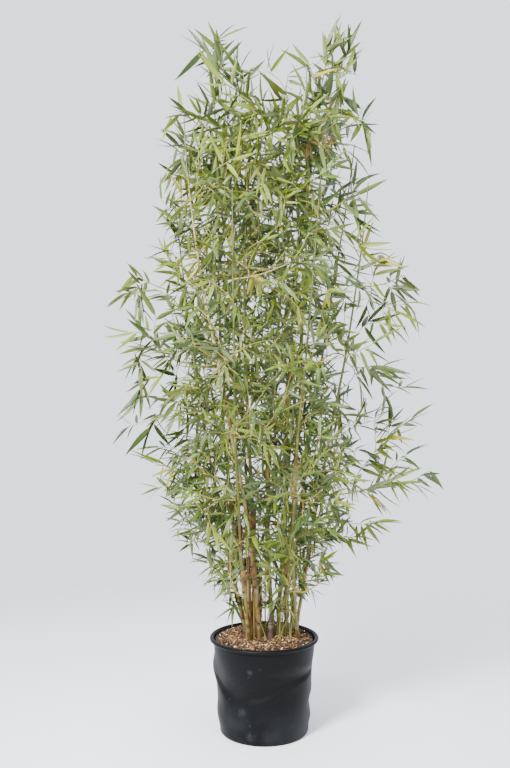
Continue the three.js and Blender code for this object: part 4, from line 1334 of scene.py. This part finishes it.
def cane_rings(cane, zigzag):
    """The middles and radii of a cane's rings, and their heights over the nearest joint."""
    joints = np.array([STUMP_JOINT]) if cane is STUMP else joint_heights(cane)
    near = [(joint + rise, swell) for joint in joints for rise, swell in JOINT_PROFILE]
    # The foot's flare starts in the soil. The stump ends in a flat cut with a slightly rounded edge.
    foot = [(SOIL_LEVEL - 6, FOOT_FLARE), (SOIL_LEVEL + 3, FOOT_FLARE * 0.94), (SOIL_LEVEL + 12, 1.06)]
    tip = [(cane.height, 0.9)]
    if cane is STUMP:
        near = [ring for ring in near if ring[0] < cane.height - 8]
        tip = [(cane.height - 6, 1), (cane.height - 0.8, 0.99), (cane.height, 0.93)]
    rings = sorted(foot + [ring for ring in near if ring[0] > SOIL_LEVEL + 14] + tip)
    filled = []
    for (low, swell), (high, _) in zip(rings, rings[1:]):
        steps = max(1, round((high - low) / FILL_STEP))
        filled += [(low + (high - low) * step / steps, swell if step == 0 else 1.0) for step in range(steps)]
    heights, swells = np.array(filled + rings[-1:]).T
    middles = cane_at(cane, heights)
    side = np.interp(heights, joints, np.where(np.arange(len(joints)) % 2, zigzag, -zigzag))
    middles[:, 0] += side * np.clip((heights - SOIL_LEVEL) / ZIGZAG_RISE, 0, 1)
    from_joint = heights - joints[np.argmin(np.abs(heights[:, None] - joints), axis=1)]
    return middles, cane_radius(cane, heights) * swells, from_joint


def make_canes(settings):
    """Each cane is a round bar with a sharp scar and a ridge at every joint."""
    moss, umber = linear("#474f14"), linear("#3d2720")
    green = culm_skin("culm_skin", settings.culm, moss, linear("#6a561d"), moss)
    earth, olive = linear("#7d6330"), linear("#5b5b24")
    straw = culm_skin("dry_culm_skin", earth, settings.straw, linear("#6e5226"), olive)
    woody = culm_skin("stump_skin", umber, umber, linear("#23140f"), umber)
    for cane in [*CANES, STUMP]:
        middles, radii, from_joint = cane_rings(cane, settings.zigzag / MM)
        skin = woody if cane is STUMP else straw if cane.name == DRY_CANE else green
        values = {"from_joint": from_joint * MM}
        obj = round_bars("culm_" + cane.name, [middles], [radii], settings.sides, skin, values)
        slot = "straw_cane" if cane.name == DRY_CANE else "cane"
        finished(obj, slot, "cane_" + cane.name)


SHEATH_ROWS = 9
SHEATH_COLUMNS = 11
SHEATH_WALL = 0.5
SHEATH_LENGTHS = (0.5, 0.85)  # as shares of the internode
SHEATH_FOOT = 0.6  # how far over its joint a sheath starts
# The canes that stand close together, and the height above which they have no brown sheaths
BUNCH = ("left_leader", "bunched", "straw", "front_left", "left_outer")
BUNCH_SHEATH_TOP = 560
SHEATH_TOP = 760
SHEATH_SHARE = 0.42  # of the other joints under that height
YOUNG_SHEATHS_FROM = 1180


def sheath_skin(cane, low, length, turn, random):
    """A sheath wraps most of the cane, loosens upwards and ends in a point on one side."""
    along = np.linspace(0, 1, SHEATH_ROWS)[:, None]
    across = np.linspace(-1, 1, SHEATH_COLUMNS)[None, :]
    reach = 1 - 0.45 * np.abs(across) ** 1.6
    heights = low + length * along * reach
    # It goes 170 degrees round to each side at its foot, and 110 at its top, where it stands off.
    wrap = np.radians(170 - 60 * along**2) * across + turn
    radius = cane_radius(cane, heights) + 0.5 + (1.6 + 3.2 * np.abs(across) ** 3) * along**2
    radius += random.uniform(0, 0.5) * np.sin(3 * wrap + 9 * along)
    middles = cane_at(cane, heights.ravel())
    out = np.stack([np.cos(wrap), np.sin(wrap)], axis=-1).reshape(-1, 2)
    middles[:, :2] += out * radius.reshape(-1, 1)
    return middles, np.broadcast_to(along, heights.shape).ravel()


def sheath_piece(name, wraps, paper):
    """All sheaths of a kind as one thin-walled piece. A wrap is a cane, its foot, length and turn."""
    random = np.random.default_rng(SEED + 1)
    points, faces, along = [], [], []
    for cane, low, length, turn in wraps:
        skin, rise = sheath_skin(cane, low, length, turn, random)
        first = len(points) * SHEATH_ROWS * SHEATH_COLUMNS
        points.append(skin)
        along.append(rise)
        for row in range(SHEATH_ROWS - 1):
            for column in range(SHEATH_COLUMNS - 1):
                corner = first + row * SHEATH_COLUMNS + column
                faces.append([corner, corner + 1, corner + SHEATH_COLUMNS + 1, corner + SHEATH_COLUMNS])
    obj = mesh_object(name, np.vstack(points) * MM, faces, attributes={"along": np.concatenate(along)})
    wall = obj.modifiers.new("wall", "SOLIDIFY")
    wall.thickness = SHEATH_WALL * MM
    wall.offset = 1
    keep_result(obj, wall)
    return finished(obj, "cane", material=paper)


def make_sheaths(settings):
    """Brown and dry sheaths clasp the canes' lower joints, and green ones their last joints."""
    random = np.random.default_rng(SEED + 2)
    brown, dry, young = [], [], []
    for cane in CANES:
        joints = joint_heights(cane)
        for low, high in zip(joints, joints[1:]):
            length = (high - low) * random.uniform(*SHEATH_LENGTHS)
            wrap = (cane, low + SHEATH_FOOT, length, random.uniform(-math.pi, math.pi))
            kept = random.uniform() < SHEATH_SHARE
            if cane.name in BUNCH and low < BUNCH_SHEATH_TOP:
                brown.append(wrap)
            elif low < SHEATH_TOP and kept:
                dry.append(wrap)
            elif low > YOUNG_SHEATHS_FROM and cane.name != DRY_CANE:
                young.append(wrap)
    kinds = [
        ("brown", brown, linear("#6a481b"), "#8f6d31", "#3a2610"),
        ("dry", dry, settings.sheath, "#978442", "#523c16"),
        ("green", young, linear("#8e8d26"), "#a8a240", "#6f7622"),
    ]
    for kind, wraps, base, fibre, spot in kinds:
        sheath_piece(f"{kind}_culm_sheaths", wraps, sheath_paper(f"{kind}_sheath", base, fibre, spot))


# Shoots: where their feet stand, how many, how high, how thick at the foot, how far they lean out, and
# their colours
Shoots = namedtuple("Shoots", "name middle spread count heights radii lean base patches")
SHOOTS = [
    Shoots("young_shoots", (22, 0), (62, 48), 30, (50, 150), (1.1, 2.0), 0.5, "#80703a", "#66702c"),
    Shoots("dead_stalks", (-24, -14), (24, 34), 20, (110, 330), (2.4, 3.6), 0.12, "#74451f", "#86702f"),
]
SHOOT_SIDES = 8
SHOOT_DEPTH = 4  # how far under the soil's level their feet are
SHOOT_TIP = 0.4


def make_shoots():
    """Thin young shoots that have come up round the canes, and dead stalks among the close ones."""
    random = np.random.default_rng(SEED + 4)
    for kind in SHOOTS:
        lines, radii = [], []
        while len(lines) < kind.count:
            turn = random.uniform(0, 2 * math.pi)
            out = np.array([math.cos(turn) * kind.spread[0], math.sin(turn) * kind.spread[1], 0])
            out = out * random.uniform(0.2, 1)
            foot = np.array([*kind.middle, SOIL_LEVEL - SHOOT_DEPTH]) + out
            stray = random.normal(0, 12 * kind.lean + 3, 3)
            top = foot + out * kind.lean + stray + UP * random.uniform(*kind.heights)
            line = curved(foot, foot + UP * 0.4 * (top - foot)[2], top, TWIG_POINTS)
            radius = random.uniform(*kind.radii)
            if (cane_clearance(line) >= radius).all():
                lines.append(line)
                radii.append(np.linspace(radius, SHOOT_TIP, TWIG_POINTS))
        rind = twig_rind(kind.name + "_rind", linear(kind.base), kind.patches)
        finished(round_bars(kind.name, lines, radii, SHOOT_SIDES, rind), "cane")


# Twigs and leaves


TWIG_SIDES = 5
TWIG_WOBBLE = 0.7
TWIG_BASE = (0.5, 0.26)  # the radius of a limb's foot, and what it gains as it carries more sprays
TIP_GROWTH = (0.08, 1.5)  # what a tip's radius gains with each spray, and the most it is of the setting
STEM_ROOT = 0.12  # how far a stem reaches back into its cane's joint, in steps of its line


def crown_limbs(settings):
    """The limbs for the settings' lengths, which are rounded so that they are grown only once."""
    return grown_limbs(round(settings.spray_spacing / MM, 3), round(settings.leaf_length / MM, 3))


def make_twigs(settings):
    """The masses' stems and all the twigs on them, thinner the fewer sprays they carry."""
    random = np.random.default_rng(SEED + 2)
    lines, radii = [], []
    for limb in crown_limbs(settings):
        line = limb.line.copy()
        line[1:-1] += random.normal(0, TWIG_WOBBLE, (TWIG_POINTS - 2, 3))
        if limb.parent is None:
            line[0] -= (line[1] - line[0]) * STEM_ROOT
        base = TWIG_BASE[0] + TWIG_BASE[1] * math.sqrt(limb.carried)
        tip = settings.twig_tip / MM * min(TIP_GROWTH[1], 1 + TIP_GROWTH[0] * limb.carried)
        lines.append(line)
        radii.append(np.linspace(base, tip, TWIG_POINTS))
    rind = twig_rind("twig_rind", settings.twig, "#7a7c2c")
    obj = round_bars("twigs", lines, radii, TWIG_SIDES, rind)
    return finished(obj, "foliage", *MASS_NODES)


# A blade's outline: share of its length, and half its width there over the most
BLADE_OUTLINE = [
    (0, 0.08),
    (0.04, 0.14),
    (0.14, 0.76),
    (0.34, 1.0),
    (0.6, 0.82),
    (0.82, 0.42),
    (1, 0),
]
# The corners of its section: an edge, the top of the rib, the other edge, and the rib's underside
BLADE_RING = [(-1, 0), (0, 1), (1, 0), (0, -1)]
BLADE_FOLD = 0.16  # how far its edges stand over its rib, as a share of half its width
BLADE_THICK = 0.035  # share of its width
# The leaf shapes: how far each one's tip droops, over its length, and its twist in degrees
BLADES = [(0.06, 14), (0.12, -20), (0.18, 30), (0.26, -12), (0.1, -34), (0.2, 22)]


def blade_shape(twist):
    """A leaf of length 1 and width 1 that starts at the origin and lies along +Y, with its rib below
    its edges. It turns about its length by the twist."""
    points, uv = [], []
    for along, half in BLADE_OUTLINE[:-1]:
        for across, layer in BLADE_RING:
            rise = BLADE_FOLD * half * abs(across) + layer * BLADE_THICK * half
            points.append((0.5 * half * across, along, rise))
            uv.append((0.5 + 0.5 * across, along))
    points.append((0, 1, 0))
    uv.append((0.5, 1))
    faces, under = [], []
    rows = len(BLADE_OUTLINE) - 2
    for row in range(rows + 1):
        for i in range(4):
            low, next_low = 4 * row + i, 4 * row + (i + 1) % 4
            above = [next_low + 4, low + 4] if row < rows else [len(points) - 1]
            faces.append([low, next_low, *above])
            under.append(float(i > 1))
    faces.append([3, 2, 1, 0])
    under.append(1.0)
    points = np.array(points)
    turn = math.radians(twist) * points[:, 1]
    across, rise = points[:, 0].copy(), points[:, 2].copy()
    points[:, 0] = across * np.cos(turn) - rise * np.sin(turn)
    points[:, 2] = across * np.sin(turn) + rise * np.cos(turn)
    return points, faces, np.array(under), np.array(uv)


def blade_object(name, droop, twist, aspect):
    """The leaf shape as an object, bent down by the droop. Its heights are given in leaf lengths, its
    widths in leaf widths."""
    points, faces, under, uv = blade_shape(twist)
    along = points[:, 1].copy()
    points[:, 2] = points[:, 2] * aspect - droop * along**2
    points[:, 1] = along - 0.5 * droop**2 * along**3
    obj = mesh_object(name, points, faces, attributes={"underside": under})
    layer = obj.data.uv_layers.new(name="UVMap").data
    corners = np.empty(len(obj.data.loops), int)
    obj.data.loops.foreach_get("vertex_index", corners)
    layer.foreach_set("uv", uv[corners].ravel())
    # The two edges of the blade are sharp. Its rib is smooth.
    rim = obj.data.attributes.new("sharp_edge", "BOOLEAN", "EDGE").data
    for edge, mark in zip(obj.data.edges, rim):
        low, high = sorted(edge.vertices)
        mark.value = low % 4 in (0, 2) and (high - low == 4 or high == len(points) - 1)
    obj.data.polygons.foreach_set("use_smooth", np.full(len(faces), True))
    return obj


Tint = namedtuple("Tint", "name share top under")
TINTS = [
    Tint("leaves_fresh", 0.26, "#62730e", "#6e7a2c"),
    Tint("leaves_green", 0.23, "#465c0d", "#5b6a2c"),
    Tint("leaves_olive", 0.13, "#515a13", "#60672e"),
    Tint("leaves_grey_green", 0.16, "#475629", "#5d6b41"),
    Tint("leaves_deep", 0.19, "#283d08", "#425520"),
    Tint("leaves_yellowed", 0.025, "#8f8a0c", "#8c8428"),
    Tint("leaves_dried", 0.005, "#5c4819", "#6a562c"),
]


WIDTH_GROWTH = 0.8  # under 1, large leaves are more slender
WIDTHS = (0.8, 1.15)  # each leaf's own share of its width


def euler_angles(side, ahead, normal):
    """Turns that take X to side, Y to ahead and Z to normal."""
    x = np.arctan2(ahead[:, 2], normal[:, 2])
    y = -np.arcsin(np.clip(side[:, 2], -1, 1))
    z = np.arctan2(side[:, 1], side[:, 0])
    return np.column_stack([x, y, z])


def make_leaves(settings):
    """The leaves of all sprays. Tints are dealt out by spray, and each is a piece of its own."""
    random = np.random.default_rng(SEED + 3)
    limbs = crown_limbs(settings)
    leaves = leaf_fan(limbs, settings.leaf_length / MM, random)
    aspect = settings.leaf_width / settings.leaf_length
    blades = [blade_object(f"leaf_shape_{i}", *blade, aspect) for i, blade in enumerate(BLADES)]
    shapes = as_collection("leaf_shapes", blades)
    side = np.cross(leaves.ahead, leaves.normal)
    turn = euler_angles(side, leaves.ahead, leaves.normal)
    length = leaves.size * settings.leaf_length
    width = settings.leaf_width * leaves.size**WIDTH_GROWTH * random.uniform(*WIDTHS, len(length))
    size = np.column_stack([width, length, length])
    shape = random.integers(0, len(BLADES), len(length))
    dealt = random.choice(len(TINTS), len(limbs), p=[tint.share for tint in TINTS])[leaves.spray]
    for number, tint in enumerate(TINTS):
        mine = dealt == number
        values = {"turn": turn[mine], "size": size[mine], "shape": shape[mine]}
        obj = mesh_object(tint.name, leaves.place[mine] * MM, attributes=values)
        blade = leaf_blade(tint.name + "_blade", tint.top, tint.under)
        run_tree(obj, sprig_tree(), Shapes=shapes, Material=blade)
        finished(obj, "foliage", *MASS_NODES)
    discard(shapes)


# Stage

BACKDROP_LIGHT = 2.5
LAMPS = [  # name, place, size in metres, power in watts
    ("soft_key", (-1.5, -2.3, 2.6), 0.8, 400),
    ("soft_fill", (1.9, -1.9, 1.9), 1.8, 30),
    ("soft_top", (0.1, 0.5, 3.2), 1.8, 30),
]
LAMPS_LOOK_AT = np.array([0, 0, 0.8])
FLOOR_PROFILE = [(0, 0), (1.5, 0), (12, 0)]  # radii and heights, in metres


def stage_surface(settings):
    """A pale matte floor that fades into the backdrop's own light away from the pot."""
    material, tree, place = new_material("studio_floor")
    far = add_node(tree, "ShaderNodeVectorMath", {0: place}, operation="LENGTH").outputs["Value"]
    away = add_node(tree, "ShaderNodeMapRange", {"Value": far, "From Min": 0.4, "From Max": 1.7})
    floor = add_node(tree, "ShaderNodeBsdfDiffuse", {"Color": linear("#e6e8ea")})
    glow = add_node(tree, "ShaderNodeEmission", {"Color": settings.backdrop, "Strength": BACKDROP_LIGHT})
    mixed = add_node(tree, "ShaderNodeMixShader", {0: away, 1: floor, 2: glow})
    add_node(tree, "ShaderNodeOutputMaterial", {"Surface": mixed})
    return material


def look_at(place, target):
    """Turns of a lamp at a place that looks at a target."""
    run = target - place
    return (math.atan2(math.hypot(run[0], run[1]), -run[2]), 0, math.atan2(run[1], run[0]) - math.pi / 2)


def make_stage(settings):
    """The floor, the pale surroundings, three soft lamps and the camera."""
    points, faces = turned_skin(FLOOR_PROFILE, 96)
    floor = mesh_object("studio_floor", points, [face[::-1] for face in faces])
    floor.data.materials.append(stage_surface(settings))

    world = bpy.data.worlds.new("studio")
    bpy.context.scene.world = world
    world.use_nodes = True
    background = world.node_tree.nodes["Background"]
    background.inputs["Color"].default_value = settings.backdrop
    background.inputs["Strength"].default_value = BACKDROP_LIGHT

    for name, place, size, power in LAMPS:
        data = bpy.data.lights.new(name, "AREA")
        data.size = size
        data.energy = power
        lamp = bpy.data.objects.new(name, data)
        lamp.location = place
        lamp.rotation_euler = look_at(np.array(place), LAMPS_LOOK_AT)
        bpy.context.scene.collection.objects.link(lamp)

    lens = bpy.data.cameras.new("camera")
    lens.lens = settings.lens
    camera = bpy.data.objects.new("camera", lens)
    camera.location = settings.camera_place
    camera.rotation_euler = (math.radians(90), 0, 0)
    bpy.context.scene.collection.objects.link(camera)
    bpy.context.scene.camera = camera


# Operators


class BAMBOO_OT_pot(bpy.types.Operator):
    """Make the pot's shell"""

    bl_idname = "bamboo.pot"
    bl_label = "Pot"

    def execute(self, context):
        make_pot(context.scene.bamboo_pot)
        return {"FINISHED"}


class BAMBOO_OT_soil(bpy.types.Operator):
    """Fill the pot with soil"""

    bl_idname = "bamboo.soil"
    bl_label = "Soil"

    def execute(self, context):
        make_soil(context.scene.bamboo_soil)
        return {"FINISHED"}


class BAMBOO_OT_chips(bpy.types.Operator):
    """Strew bark chips and straw over the soil"""

    bl_idname = "bamboo.chips"
    bl_label = "Bark chips"

    def execute(self, context):
        make_chips(context.scene.bamboo_soil)
        return {"FINISHED"}


class BAMBOO_OT_canes(bpy.types.Operator):
    """Make the jointed canes and the stump"""

    bl_idname = "bamboo.canes"
    bl_label = "Canes"

    def execute(self, context):
        make_canes(context.scene.bamboo_canes)
        return {"FINISHED"}


class BAMBOO_OT_sheaths(bpy.types.Operator):
    """Wrap sheaths round the lower and the last joints"""

    bl_idname = "bamboo.sheaths"
    bl_label = "Sheaths"

    def execute(self, context):
        make_sheaths(context.scene.bamboo_canes)
        return {"FINISHED"}


class BAMBOO_OT_shoots(bpy.types.Operator):
    """Grow thin shoots and dead stalks among the canes' feet"""

    bl_idname = "bamboo.shoots"
    bl_label = "Young shoots"

    def execute(self, context):
        make_shoots()
        return {"FINISHED"}


class BAMBOO_OT_twigs(bpy.types.Operator):
    """Grow the stems and twigs of the foliage"""

    bl_idname = "bamboo.twigs"
    bl_label = "Twigs"

    def execute(self, context):
        make_twigs(context.scene.bamboo_crown)
        return {"FINISHED"}


class BAMBOO_OT_leaves(bpy.types.Operator):
    """Grow the leaves in their tints"""

    bl_idname = "bamboo.leaves"
    bl_label = "Leaves"

    def execute(self, context):
        make_leaves(context.scene.bamboo_crown)
        return {"FINISHED"}


class BAMBOO_OT_stage(bpy.types.Operator):
    """Set up the floor, the lights and the camera"""

    bl_idname = "bamboo.stage"
    bl_label = "Stage"

    def execute(self, context):
        make_stage(context.scene.bamboo_stage)
        return {"FINISHED"}


OPERATORS = [
    BAMBOO_OT_stage,
    BAMBOO_OT_pot,
    BAMBOO_OT_soil,
    BAMBOO_OT_chips,
    BAMBOO_OT_canes,
    BAMBOO_OT_sheaths,
    BAMBOO_OT_shoots,
    BAMBOO_OT_twigs,
    BAMBOO_OT_leaves,
]
SETTINGS = {
    "bamboo_pot": PotSettings,
    "bamboo_soil": SoilSettings,
    "bamboo_canes": CaneSettings,
    "bamboo_crown": CrownSettings,
    "bamboo_stage": StageSettings,
}


class BAMBOO_PT_panel(bpy.types.Panel):
    """Lists the pieces and their settings"""

    bl_label = "Potted bamboo"
    bl_idname = "BAMBOO_PT_panel"
    bl_space_type = "VIEW_3D"
    bl_region_type = "UI"
    bl_category = "Bamboo"

    def draw(self, context):
        for operator in OPERATORS:
            self.layout.operator(operator.bl_idname)
        for name, group in SETTINGS.items():
            box = self.layout.box()
            box.label(text=group.__doc__)
            for key in group.__annotations__:
                box.prop(getattr(context.scene, name), key)


def register():
    for group in [*SETTINGS.values(), *OPERATORS, BAMBOO_PT_panel]:
        bpy.utils.register_class(group)
    for name, group in SETTINGS.items():
        setattr(bpy.types.Scene, name, PointerProperty(type=group))


def unregister():
    for name in SETTINGS:
        delattr(bpy.types.Scene, name)
    for group in [BAMBOO_PT_panel, *reversed(OPERATORS), *reversed(SETTINGS.values())]:
        bpy.utils.unregister_class(group)


def main():
    register()
    bpy.ops.bamboo.stage()
    bpy.ops.bamboo.pot()
    bpy.ops.bamboo.soil()
    bpy.ops.bamboo.chips()
    bpy.ops.bamboo.canes()
    bpy.ops.bamboo.sheaths()
    bpy.ops.bamboo.shoots()
    bpy.ops.bamboo.twigs()
    bpy.ops.bamboo.leaves()


if __name__ == "__main__":
    main()
